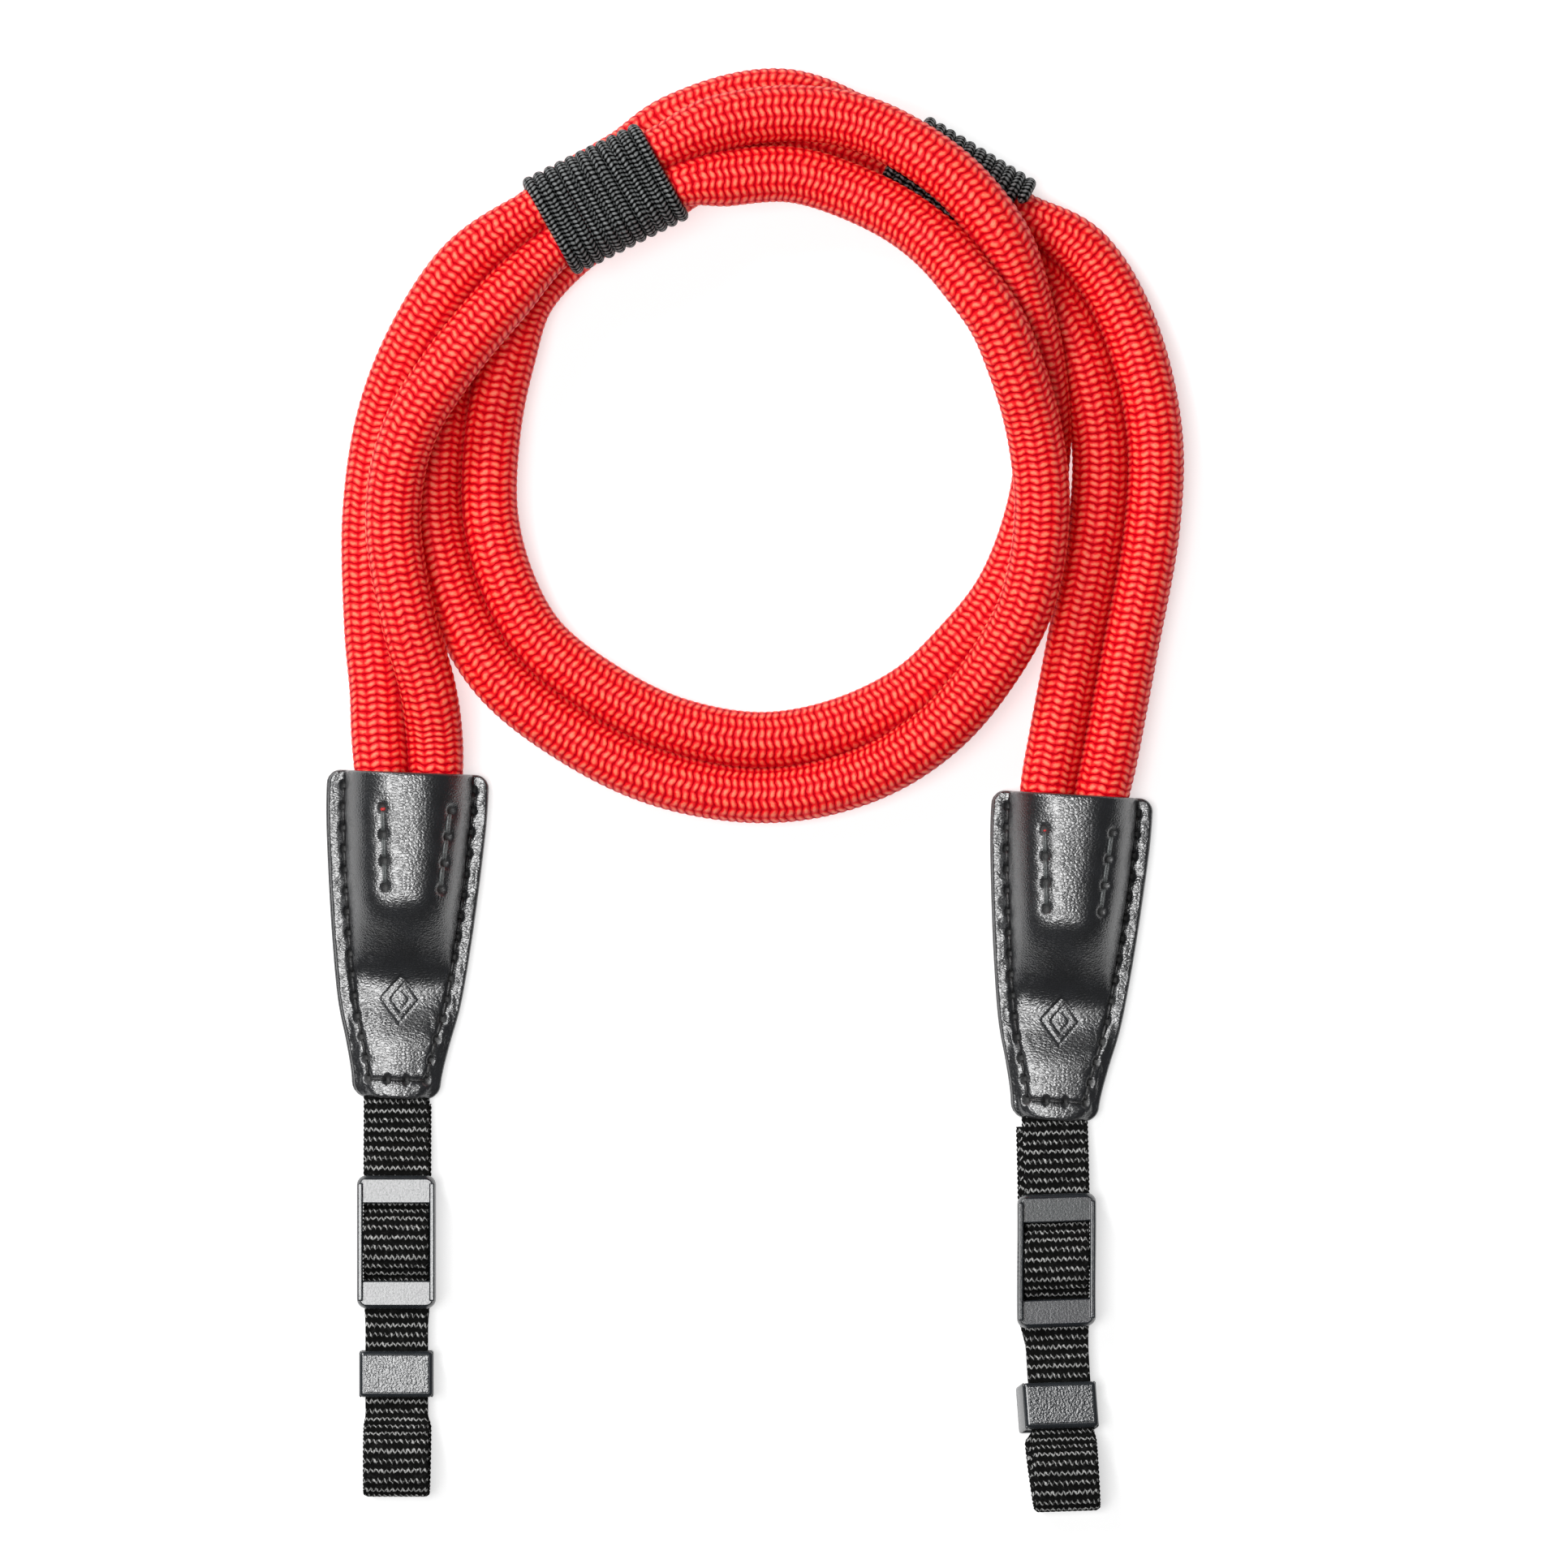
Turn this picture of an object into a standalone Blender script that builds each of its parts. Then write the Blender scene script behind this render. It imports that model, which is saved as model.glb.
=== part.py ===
"""Camera neck strap of doubled braided rope.

Two parallel ropes run from one leather tab to the other. They are laid in a flat coil of one and a
half turns and are bound together by two cord whippings. Each leather tab holds the rope ends in a
stitched pocket and a woven strap at its narrow end. The strap threads through a slider and a keeper
and folds back to make the eye that the camera's lug goes through.

Lengths are in millimetres here and are turned into metres when a mesh is made. +Z is up, the coil
lies on the ground plane, and the straps point towards -Y.
"""

import math

import bmesh
import bpy
import numpy as np
from mathutils import Matrix, Vector

METRE = 0.001
GAP = 0.3

# Ropes
ROPE_RADIUS = 4.15
ROPE_STATIONS = 78

# Route of the middle between the two ropes, from the end in the left tab to the end in the right one.
# Each row is x, y, height, roll about the direction of travel in degrees, and the ropes' spacing.
ROUTE = [
    (-52.1, 37.6, 4.2, 0, 6.0),
    (-51.7, 47.0, 4.7, 0, 7.0),
    (-51.4, 56.6, 5.1, 0, 7.5),
    (-51.7, 62.5, 5.3, -6, 8.6),
    (-52.3, 69.0, 6.2, -24, 8.6),
    (-54.2, 79.7, 7.5, -47, 8.6),
    (-55.5, 95.7, 8.4, -64, 8.6),
    (-53.4, 109.0, 10.7, -61, 8.9),
    (-47.9, 120.6, 13.4, -39, 8.6),
    (-39.4, 132.1, 14.6, -14, 8.4),
    (-29.8, 140.3, 14.2, 0, 7.0),
    (-11.6, 149.4, 14.2, 0, 7.0),
    (-3.1, 152.0, 13.4, 0, 8.6),
    (7.4, 153.1, 12.9, 0, 9.4),
    (16.9, 151.2, 13.3, 0, 10.4),
    (28.1, 145.1, 15.9, 0, 9.7),
    (35.4, 137.7, 17.3, -14, 8.8),
    (40.6, 128.3, 16.3, -52, 9.0),
    (43.6, 119.3, 13.9, -67, 9.1),
    (45.6, 108.8, 10.3, -80, 8.9),
    (45.4, 96.6, 8.6, -98, 8.6),
    (41.9, 83.6, 8.1, -118, 8.6),
    (35.9, 74.3, 7.4, -134, 8.6),
    (27.9, 65.9, 6.5, -149, 8.6),
    (16.9, 59.9, 5.0, -170, 8.6),
    (3.1, 57.3, 4.3, -180, 8.6),
    (-11.9, 59.9, 4.3, -180, 8.6),
    (-24.4, 66.1, 4.3, -180, 8.6),
    (-34.4, 74.1, 4.3, -180, 8.6),
    (-40.0, 83.7, 4.3, -180, 8.6),
    (-43.1, 95.6, 4.3, -180, 8.6),
    (-42.8, 108.9, 4.3, -180, 8.6),
    (-40.6, 120.6, 4.3, -180, 8.6),
    (-36.9, 132.4, 4.3, -180, 8.6),
    (-26.9, 143.3, 4.3, -180, 8.6),
    (-15.9, 148.7, 4.3, -180, 8.6),
    (-8.0, 153.1, 4.3, -180, 8.6),
    (5.9, 156.4, 4.3, -180, 8.6),
    (22.9, 151.1, 5.4, -180, 7.0),
    (41.4, 139.8, 5.4, -180, 7.0),
    (49.4, 133.7, 4.5, -180, 8.6),
    (55.3, 124.3, 4.3, -180, 8.6),
    (59.1, 109.3, 4.3, -180, 8.6),
    (58.9, 95.6, 4.3, -180, 8.6),
    (55.3, 75.4, 4.3, -180, 8.6),
    (52.4, 60.0, 4.9, -180, 8.6),
    (51.1, 53.2, 5.1, -180, 7.5),
    (50.5, 44.0, 4.7, -180, 7.0),
    (49.9, 34.3, 4.2, -180, 6.0),
]

# Whippings: the row of ROUTE where each starts and ends
WHIPPING_ROWS = {"left": (10, 11), "right": (38, 39)}
WHIPPING_WALL = 1.4
WHIPPING_TRIM = 1.5
WHIPPED_SPACING = 7.0
WHIPPED_RADIUS = 3.4

# Leather tabs
LEATHER = 1.0
TAB_LENGTH = 50.3
TAB_HALF_WIDTHS = [
    (0, 12.35), (6, 12.3), (14, 11.75), (26, 10.6), (36, 9.25), (42, 7.8), (47, 6.8), (50.3, 6.6),
]
TAB_TOP_CORNER = 2.1
TAB_BOTTOM_CORNER = 1.5
POCKET_HEIGHT = 8.5
POCKET_EXPONENT = 3.4
POCKET_MARGIN = 3.5
POCKET_FALLS = (15.0, 31.5)
LIFT_OVER_STRAP = (33.0, 40.5)
THREAD_RADIUS = 0.3
SEAM_INSET = 1.6
ROPE_STITCH_ROWS = {"inner": (-4.0, -3.1), "outer": (6.4, 5.3)}
ROPE_STITCH_SPAN = (5.6, 17.8)

# Woven straps
STRAP_WIDTH = 9.95
STRAP = 1.0
STRAP_IN_TAB = 9.0
STRAP_RISES = 10.0
STRAP_RAISED = 1.3
TAIL_FROM_TAB = 3.0
EYE_RADIUS = 3.1
EYE_FLAT = 3.4
EYE_NECK = 5.5

# Sliders and keepers
SLIDER_SIZE = (12.3, 20.7)
SLIDER_RAIL = 0.85
SLIDER_END_BAR = 3.9
SLIDER_MIDDLE_BAR = 3.3
SLIDER_CORNER = 0.9
SLIDER_BOTTOM = 2.2
SLIDER_BAR_UNDERSIDE = 3.95
SLIDER_BAR_TOP = 5.5
SLIDER_TOP = 6.6
KEEPER_SIZE = (11.4, 7.1)
KEEPER_WALL = 0.45
KEEPER_FLOOR = 1.0
KEEPER_TOP = 5.4

# How far a cutter reaches past the piece it cuts
CLEAR = 20.0

# Where each half sits: the middle of the tab's mouth, how far the tab and the strap lean towards -X in
# degrees, and how far from the tab's narrow end the slider, the keeper and the strap's fold are.
SIDES = {
    "left": {"mouth": (-51.4, 56.6), "tab_lean": 2.2, "strap_lean": 0.0,
             "slider_at": 11.75, "keeper_at": 38.9, "fold_at": 61.4},
    "right": {"mouth": (51.05, 53.2), "tab_lean": 3.3, "strap_lean": -1.9,
              "slider_at": 11.25, "keeper_at": 40.2, "fold_at": 60.3},
}

COLOURS = {
    "rope": ((0.80, 0.018, 0.022), 0.75),
    "whipping_cord": ((0.022, 0.024, 0.025), 0.6),
    "leather": ((0.016, 0.017, 0.019), 0.38),
    "thread": ((0.02, 0.02, 0.022), 0.5),
    "strap_webbing": ((0.02, 0.021, 0.022), 0.65),
    "moulded_plastic": ((0.03, 0.032, 0.034), 0.4),
}


def clear_scene():
    for found in list(bpy.data.objects):
        bpy.data.objects.remove(found, do_unlink=True)


def material(slot):
    """One Principled material for each kind of stuff, made the first time it is asked for."""
    made = bpy.data.materials.get(slot)
    if made:
        return made
    colour, roughness = COLOURS[slot]
    made = bpy.data.materials.new(slot)
    made.use_nodes = True
    shader = made.node_tree.nodes["Principled BSDF"]
    shader.inputs["Base Color"].default_value = (*colour, 1.0)
    shader.inputs["Roughness"].default_value = roughness
    shader.inputs["Metallic"].default_value = 0.0
    return made


def smoothstep(value, start, end):
    t = np.clip((np.asarray(value, float) - start) / (end - start), 0.0, 1.0)
    return t * t * (3.0 - 2.0 * t)


def smooth_curve(rows, count, used=3):
    """count rows spaced evenly along the smooth curve through the given rows.

    The first `used` columns are the position that the spacing is measured on.
    """
    rows = np.array(rows, float)
    steps = np.linalg.norm(np.diff(rows[:, :used], axis=0), axis=1)
    at = np.concatenate([[0.0], np.cumsum(np.sqrt(steps))])
    slopes = np.diff(rows, axis=0) / np.diff(at)[:, None]
    tangents = np.empty_like(rows)
    tangents[0], tangents[-1] = slopes[0], slopes[-1]
    before, after = np.diff(at)[:-1, None], np.diff(at)[1:, None]
    tangents[1:-1] = (slopes[:-1] * after + slopes[1:] * before) / (before + after)
    fine = []
    for k in range(len(rows) - 1):
        span = at[k + 1] - at[k]
        for t in np.linspace(0.0, 1.0, 24, endpoint=k == len(rows) - 2):
            fine.append(
                (2 * t**3 - 3 * t**2 + 1) * rows[k]
                + (t**3 - 2 * t**2 + t) * span * tangents[k]
                + (3 * t**2 - 2 * t**3) * rows[k + 1]
                + (t**3 - t**2) * span * tangents[k + 1]
            )
    fine = np.array(fine)
    walked = np.linalg.norm(np.diff(fine[:, :used], axis=0), axis=1)
    walked = np.concatenate([[0.0], np.cumsum(walked)])
    wanted = np.linspace(0.0, walked[-1], count)
    return np.stack([np.interp(wanted, walked, column) for column in fine.T], axis=1)


def pair_frames(rows):
    """For each row of the pair's route: the middle, the unit vector from it to rope b, and that across."""
    middle = rows[:, :3]
    along = np.gradient(middle, axis=0)
    along[:, 2] = 0.0
    along /= np.linalg.norm(along, axis=1)[:, None]
    left = np.stack([-along[:, 1], along[:, 0], np.zeros(len(rows))], axis=1)
    roll = np.radians(rows[:, 3])[:, None]
    up = np.array([[0.0, 0.0, 1.0]])
    return middle, np.cos(roll) * left + np.sin(roll) * up, np.cos(roll) * up - np.sin(roll) * left


def rope_radius(spacing):
    """A rope is squeezed where the pair is pulled together, and is round elsewhere."""
    return np.minimum(ROPE_RADIUS, (spacing - GAP) / 2 + 0.05)


def rope_points(side, count=ROPE_STATIONS):
    """Centre line and radius of one rope; side is +1 for rope a and -1 for rope b."""
    rows = smooth_curve(ROUTE, count)
    middle, across, _ = pair_frames(rows)
    return middle + side * across * rows[:, 4:5] / 2, rope_radius(rows[:, 4])


def curve_object(name, points, radii, depth, slot, sides):
    """A round cord with filled ends along the points."""
    data = bpy.data.curves.new(name, "CURVE")
    data.dimensions = "3D"
    data.bevel_depth = depth * METRE
    data.bevel_resolution = sides
    data.use_fill_caps = True
    spline = data.splines.new("POLY")
    spline.points.add(len(points) - 1)
    for point, where, radius in zip(spline.points, points, radii):
        point.co = (*(float(c) * METRE for c in where), 1.0)
        point.radius = float(radius) / depth
    spline.use_smooth = True
    data.materials.append(material(slot))
    made = bpy.data.objects.new(name, data)
    bpy.context.collection.objects.link(made)
    return made


def mesh_object(name, points, faces, slot, place=Matrix.Identity(4)):
    """A mesh from points in millimetres, with its faces turned outwards; place is in metres."""
    data = bpy.data.meshes.new(name)
    shape = bmesh.new()
    corners = [shape.verts.new(Vector(p) * METRE) for p in points]
    for face in faces:
        shape.faces.new([corners[k] for k in face])
    bmesh.ops.recalc_face_normals(shape, faces=shape.faces)
    shape.to_mesh(data)
    shape.free()
    data.materials.append(material(slot))
    data.shade_smooth()
    data.set_sharp_from_angle(angle=math.radians(40))
    made = bpy.data.objects.new(name, data)
    made.matrix_world = place
    bpy.context.collection.objects.link(made)
    return made


def grid_shell(upper, lower):
    """Points and faces of a closed plate between two grids of the same size."""
    rows, columns = upper.shape[:2]
    points = np.concatenate([upper.reshape(-1, 3), lower.reshape(-1, 3)])
    under = rows * columns
    faces = []
    for r in range(rows - 1):
        for c in range(columns - 1):
            a = r * columns + c
            faces.append((a, a + 1, a + columns + 1, a + columns))
            faces.append((under + a, under + a + columns, under + a + columns + 1, under + a + 1))
    rim = [r * columns for r in range(rows)]
    rim += [(rows - 1) * columns + c for c in range(1, columns)]
    rim += [r * columns + columns - 1 for r in range(rows - 2, -1, -1)]
    rim += list(range(columns - 2, 0, -1))
    for a, b in zip(rim, rim[1:] + rim[:1]):
        faces.append((a, b, under + b, under + a))
    return points, faces


def tube_shell(sections):
    """Points and faces of a ring-shaped body: each section is a closed loop of points, and the last
    section joins the first when the sections themselves go round."""
    count, size = sections.shape[:2]
    faces = []
    for k in range(count):
        after = (k + 1) % count
        for j in range(size):
            beside = (j + 1) % size
            faces.append((k * size + j, k * size + beside, after * size + beside, after * size + j))
    return sections.reshape(-1, 3), faces


def side_frame(origin, lean):
    """Placement whose local +X runs across a tab or strap, local -Y down its length."""
    turn = Matrix.Rotation(math.radians(-lean), 4, "Z")
    return Matrix.Translation(Vector((origin[0], origin[1], 0.0)) * METRE) @ turn


def tab_frame(side):
    return side_frame(SIDES[side]["mouth"], SIDES[side]["tab_lean"])


def strap_frame(side):
    lean = math.radians(SIDES[side]["tab_lean"])
    x, y = SIDES[side]["mouth"]
    end = (x - TAB_LENGTH * math.sin(lean), y - TAB_LENGTH * math.cos(lean))
    return side_frame(end, SIDES[side]["strap_lean"])


def build_ropes():
    for name, side in (("rope_a", 1), ("rope_b", -1)):
        points, radii = rope_points(side)
        curve_object(name, points, radii, ROPE_RADIUS, "rope", 4)


def build_whipping(side):
    """A sleeve of stadium section round both ropes, where the cord is wound."""
    first, last = WHIPPING_ROWS[side]
    start, end = (np.array(ROUTE[k], float) for k in (first, last))
    rows = np.array(ROUTE[first - 2:last + 3], float)
    fine = smooth_curve(rows, 400)
    walked = np.concatenate([[0.0], np.cumsum(np.linalg.norm(np.diff(fine[:, :3], axis=0), axis=1))])
    keep_from = np.argmin(np.linalg.norm(fine[:, :3] - start[:3], axis=1))
    keep_to = np.argmin(np.linalg.norm(fine[:, :3] - end[:3], axis=1))
    keep_from = np.searchsorted(walked, walked[keep_from] + WHIPPING_TRIM)
    keep_to = np.searchsorted(walked, walked[keep_to] - WHIPPING_TRIM)
    stations = fine[np.linspace(keep_from, keep_to, 7).astype(int)]
    middle, across, over = pair_frames(stations)
    rings = []
    for reach in (WHIPPED_RADIUS + GAP, WHIPPED_RADIUS + GAP + WHIPPING_WALL):
        turn = np.linspace(0.0, 2 * math.pi, 24, endpoint=False) + math.pi / 24
        wide = reach * np.cos(turn) + np.sign(np.cos(turn)) * WHIPPED_SPACING / 2
        high = reach * np.sin(turn)
        rings.append(
            middle[:, None] + wide[None, :, None] * across[:, None] + high[None, :, None] * over[:, None]
        )
    sections = np.concatenate([rings[1], rings[0][::-1]])
    points, faces = tube_shell(sections)
    mesh_object(f"whipping_{side}", points, faces, "whipping_cord")


def tab_half_width(s):
    """Half the tab's width at distance s from its mouth, with its corners rounded."""
    table = smooth_curve(TAB_HALF_WIDTHS, 60, used=1)
    plain = np.interp(s, table[:, 0], table[:, 1])
    top = np.clip(TAB_TOP_CORNER - s, 0.0, TAB_TOP_CORNER)
    bottom = np.clip(TAB_BOTTOM_CORNER - (TAB_LENGTH - s), 0.0, TAB_BOTTOM_CORNER)
    top_cut = TAB_TOP_CORNER - np.sqrt(TAB_TOP_CORNER**2 - top**2)
    bottom_cut = TAB_BOTTOM_CORNER - np.sqrt(TAB_BOTTOM_CORNER**2 - bottom**2)
    return plain - top_cut - bottom_cut


def tab_stations():
    """Distances from the mouth, closer together round the corners."""
    corner = np.array([0.0, 0.12, 0.5, 1.2])
    top = corner / 1.2 * TAB_TOP_CORNER
    bottom = TAB_LENGTH - corner[::-1] / 1.2 * TAB_BOTTOM_CORNER
    return np.concatenate([top, np.linspace(top[-1], bottom[0], 18)[1:-1], bottom])


def pocket_section(s):
    """Inner and outer outline of the front leather across the tab at distance s, as x and z."""
    half = float(tab_half_width(s))
    plain = float(np.interp(s, *zip(*TAB_HALF_WIDTHS)))
    pocket = min(plain - POCKET_MARGIN, half - 0.8)
    height = POCKET_HEIGHT * (1.0 - float(smoothstep(s, *POCKET_FALLS)))
    base = LEATHER + GAP + (STRAP + GAP) * float(smoothstep(s, *LIFT_OVER_STRAP))
    t = np.array([0.0, 0.22, 0.42, 0.58, 0.71, 0.81, 0.89, 0.95, 0.985, 1.0])
    rise = height * np.sqrt(np.clip(1.0 - t**POCKET_EXPONENT, 0.0, 1.0))
    right = [(pocket * a, base + b) for a, b in zip(t, rise)] + [((pocket + half) / 2 + 0.4, base)]
    right.append((half, base))
    inner = np.array([(-x, z) for x, z in right[:0:-1]] + right)
    step = np.diff(inner, axis=0)
    step /= np.linalg.norm(step, axis=1)[:, None]
    normal = np.stack([-step[:, 1], step[:, 0]], axis=1)
    joint = np.concatenate([normal[:1], normal[:-1] + normal[1:], normal[-1:]])
    joint /= np.linalg.norm(joint, axis=1)[:, None]
    stretch = np.concatenate([[1.0], np.sum(joint[1:-1] * normal[1:], axis=1), [1.0]])
    outer = inner + joint * (LEATHER / stretch)[:, None]
    return inner, outer


def build_tab_front(side):
    """The domed front leather, from the pocket's mouth to the narrow end."""
    stations = tab_stations()
    grids = [[], []]
    for s in stations:
        for grid, outline in zip(grids, pocket_section(s)):
            grid.append([(x, -s, z) for x, z in outline])
    points, faces = grid_shell(np.array(grids[1]), np.array(grids[0]))
    mesh_object(f"tab_front_{side}", points, faces, "leather", tab_frame(side))


def build_tab_back(side):
    """The flat back leather, cut to the same outline."""
    stations = tab_stations()
    half = tab_half_width(stations)
    outline = [(-h, -s) for s, h in zip(stations, half)]
    outline += [(h, -s) for s, h in zip(stations[::-1], half[::-1])]
    size = len(outline)
    points = [(x, y, z) for z in (0.0, LEATHER) for x, y in outline]
    faces = [list(range(size)), list(range(2 * size - 1, size - 1, -1))]
    for k in range(size):
        after = (k + 1) % size
        faces.append((k, after, size + after, size + k))
    mesh_object(f"tab_back_{side}", points, faces, "leather", tab_frame(side))


def leather_top(x, s):
    """Height of the front leather's outer face."""
    outer = pocket_section(s)[1]
    return float(np.interp(x, outer[:, 0], outer[:, 1]))


def place_points(frame, points):
    """Points in millimetres, moved by a placement in metres."""
    return [tuple((frame @ (Vector(p) * METRE)) / METRE) for p in points]


def build_seam_thread(side):
    """The thread that closes the pocket: down one edge, across the narrow end and up the other."""
    depths = np.linspace(2.6, TAB_LENGTH - 3.4, 15)
    edge = [(tab_half_width(s) - SEAM_INSET, s) for s in depths]
    bottom = TAB_LENGTH - 2.4
    right = [(x, s) for x, s in edge] + [(edge[-1][0] - 1.2, bottom)]
    route = [(-x, s) for x, s in right] + [(0.0, bottom)] + right[::-1]
    lift = THREAD_RADIUS + GAP
    points = [(x, -s, leather_top(x, s) + lift) for x, s in route]
    points = place_points(tab_frame(side), points)
    curve_object(f"seam_thread_{side}", points, [THREAD_RADIUS] * len(points), THREAD_RADIUS, "thread", 1)


def build_rope_stitches(side):
    """Two short rows of stitching that hold the ropes in the pocket."""
    for row, (start_x, end_x) in ROPE_STITCH_ROWS.items():
        points = []
        for t in np.linspace(0.0, 1.0, 7):
            x = start_x + (end_x - start_x) * t
            s = ROPE_STITCH_SPAN[0] + (ROPE_STITCH_SPAN[1] - ROPE_STITCH_SPAN[0]) * t
            points.append((x, -s, leather_top(x, s) + THREAD_RADIUS + 2 * GAP))
        points = place_points(tab_frame(side), points)
        name = f"rope_stitch_{row}_{side}"
        curve_object(name, points, [THREAD_RADIUS] * len(points), THREAD_RADIUS, "thread", 1)


def slider_middle(side):
    return SIDES[side]["slider_at"] + SLIDER_SIZE[1] / 2


def hump(side, distance, rise, reach):
    """How much a layer lifts at this distance to pass over the slider's middle bar."""
    near = SLIDER_MIDDLE_BAR / 2 - 0.6
    far = SLIDER_SIZE[1] / 2 - SLIDER_END_BAR - 0.1 + reach
    off = abs(distance - slider_middle(side))
    return rise * (1.0 - float(smoothstep(off, near, far)))


def strap_route(side):
    """Centre line of the strap's thickness as distance from the tab and height.

    It runs from inside the tab over the slider's middle bar and through the keeper, round the eye, and
    back under itself to its tail.
    """
    fold = SIDES[side]["fold_at"]
    in_tab = LEATHER + GAP + STRAP / 2
    tail_level = STRAP_RAISED + STRAP / 2
    main_level = tail_level + STRAP + GAP
    over_bar = SLIDER_BAR_UNDERSIDE + GAP + STRAP / 2 - tail_level + 0.45
    eye_middle = EYE_RADIUS + STRAP / 2 + 0.1
    eye_centre = fold - STRAP / 2 - EYE_RADIUS
    eye_open = eye_centre - EYE_FLAT
    eye_start = eye_open - EYE_NECK
    front = []
    for d in np.concatenate([[-STRAP_IN_TAB, 0.0], np.linspace(2.0, STRAP_RISES, 4)]):
        front.append((d, in_tab + (main_level - in_tab) * float(smoothstep(d, 0.0, STRAP_RISES))))
    crossing = np.linspace(-7.0, 7.0, 25) + slider_middle(side)
    tail_line = [(d, tail_level + hump(side, d, over_bar, 0.0)) for d in crossing]
    front += offset_line(tail_line, STRAP + GAP)
    front.append((eye_start, main_level))
    for t in np.linspace(0.15, 1.0, 6):
        level = main_level + (eye_middle + EYE_RADIUS - main_level) * float(smoothstep(t, 0.0, 1.0))
        front.append((eye_start + t * (eye_open - eye_start), level))
    turn = np.linspace(90.0, -90.0, 12)
    arc = [(eye_centre + EYE_RADIUS * math.cos(a), eye_middle + EYE_RADIUS * math.sin(a))
           for a in np.radians(turn)]
    back = []
    for t in np.linspace(1.0, 0.15, 6):
        level = tail_level + (eye_middle - EYE_RADIUS - tail_level) * float(smoothstep(t, 0.0, 1.0))
        back.append((eye_start + t * (eye_open - eye_start), level))
    back.append((eye_start, tail_level))
    back += tail_line[::-1]
    for d in np.linspace(STRAP_RISES, TAIL_FROM_TAB, 5):
        still_to_rise = 1.0 - float(smoothstep(d, 0.0, STRAP_RISES))
        back.append((d, tail_level - (main_level - in_tab) * still_to_rise))
    return front + arc + back


def offset_line(line, amount):
    """The line moved sideways by an amount, towards greater height for a line running to +distance."""
    line = np.array(line, float)
    along = np.gradient(line, axis=0)
    along /= np.linalg.norm(along, axis=1)[:, None]
    moved = line + amount * np.stack([-along[:, 1], along[:, 0]], axis=1)
    return [tuple(p) for p in moved]


def build_strap(side):
    route = strap_route(side)
    upper = offset_line(route, STRAP / 2)
    lower = offset_line(route, -STRAP / 2)
    half = STRAP_WIDTH / 2
    grids = [
        np.array([[(-half, -d, z), (half, -d, z)] for d, z in line]) for line in (upper, lower)
    ]
    points, faces = grid_shell(*grids)
    mesh_object(f"strap_{side}", points, faces, "strap_webbing", strap_frame(side))


def box_object(name, low, high, place, slot="moulded_plastic"):
    """A box between two corners in millimetres."""
    (x0, y0, z0), (x1, y1, z1) = low, high
    points = [(x, y, z) for z in (z0, z1) for y in (y0, y1) for x in (x0, x1)]
    faces = [(0, 2, 3, 1), (4, 5, 7, 6), (0, 1, 5, 4), (2, 6, 7, 3), (0, 4, 6, 2), (1, 3, 7, 5)]
    return mesh_object(name, points, faces, slot, place)


def add_bevel(target, width, segments, upright_only=False):
    """Rounds the edges now, before any hole is cut."""
    shape = bmesh.new()
    shape.from_mesh(target.data)
    edges = [e for e in shape.edges if not upright_only or abs(e.verts[0].co.z - e.verts[1].co.z) > 1e-6]
    bmesh.ops.bevel(shape, geom=edges, offset=width * METRE, segments=segments, profile=0.5,
                    affect="EDGES", clamp_overlap=True)
    shape.to_mesh(target.data)
    shape.free()


def cut(target, cutter):
    """Cuts the cutter's shape out of the target; the cutter itself isn't part of the object."""
    cutter.hide_render = True
    cutter.display_type = "WIRE"
    hole = target.modifiers.new(cutter.name, "BOOLEAN")
    hole.operation = "DIFFERENCE"
    hole.solver = "EXACT"
    hole.object = cutter


def build_slider(side):
    """Three-bar slider: two raised rails, two end bars over the strap and a middle bar under it."""
    frame = strap_frame(side)
    wide = SLIDER_SIZE[0] / 2
    inside = wide - SLIDER_RAIL
    near_end = -SIDES[side]["slider_at"]
    far_end = near_end - SLIDER_SIZE[1]
    bar_near = -slider_middle(side) + SLIDER_MIDDLE_BAR / 2
    bar_far = -slider_middle(side) - SLIDER_MIDDLE_BAR / 2
    low = (-wide, far_end, SLIDER_BOTTOM)
    high = (wide, near_end, SLIDER_TOP)
    body = box_object(f"slider_{side}", low, high, frame)
    add_bevel(body, SLIDER_CORNER, 3, upright_only=True)
    under, over = SLIDER_BAR_UNDERSIDE, SLIDER_BAR_TOP
    cutters = {
        "near_window": ((bar_near, -CLEAR), (near_end - SLIDER_END_BAR, CLEAR)),
        "far_window": ((far_end + SLIDER_END_BAR, -CLEAR), (bar_far, CLEAR)),
        "near_strap_path": ((bar_near, -CLEAR), (near_end + CLEAR, under)),
        "far_strap_path": ((far_end - CLEAR, -CLEAR), (bar_far, under)),
        "rail_relief": ((far_end - CLEAR, over), (near_end + CLEAR, CLEAR)),
        "middle_bar_relief": ((bar_far - 0.1, under), (bar_near + 0.1, CLEAR)),
    }
    for name, ((y0, z0), (y1, z1)) in cutters.items():
        cutter = box_object(f"cutter_{name}_{side}", (-inside, y0, z0), (inside, y1, z1), frame)
        cut(body, cutter)


def build_keeper(side):
    """A closed loop that both layers of the strap pass through."""
    frame = strap_frame(side)
    wide, long = KEEPER_SIZE[0] / 2, KEEPER_SIZE[1]
    start = SIDES[side]["keeper_at"]
    body = box_object(f"keeper_{side}", (-wide, -start - long, 0.0), (wide, -start, KEEPER_TOP), frame)
    add_bevel(body, 0.4, 2)
    inside = wide - KEEPER_WALL
    tunnel_top = STRAP_RAISED + 2 * STRAP + 2 * GAP
    low = (-inside, -start - long - CLEAR, KEEPER_FLOOR)
    high = (inside, -start + CLEAR, tunnel_top)
    cut(body, box_object(f"cutter_keeper_{side}", low, high, frame))


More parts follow.
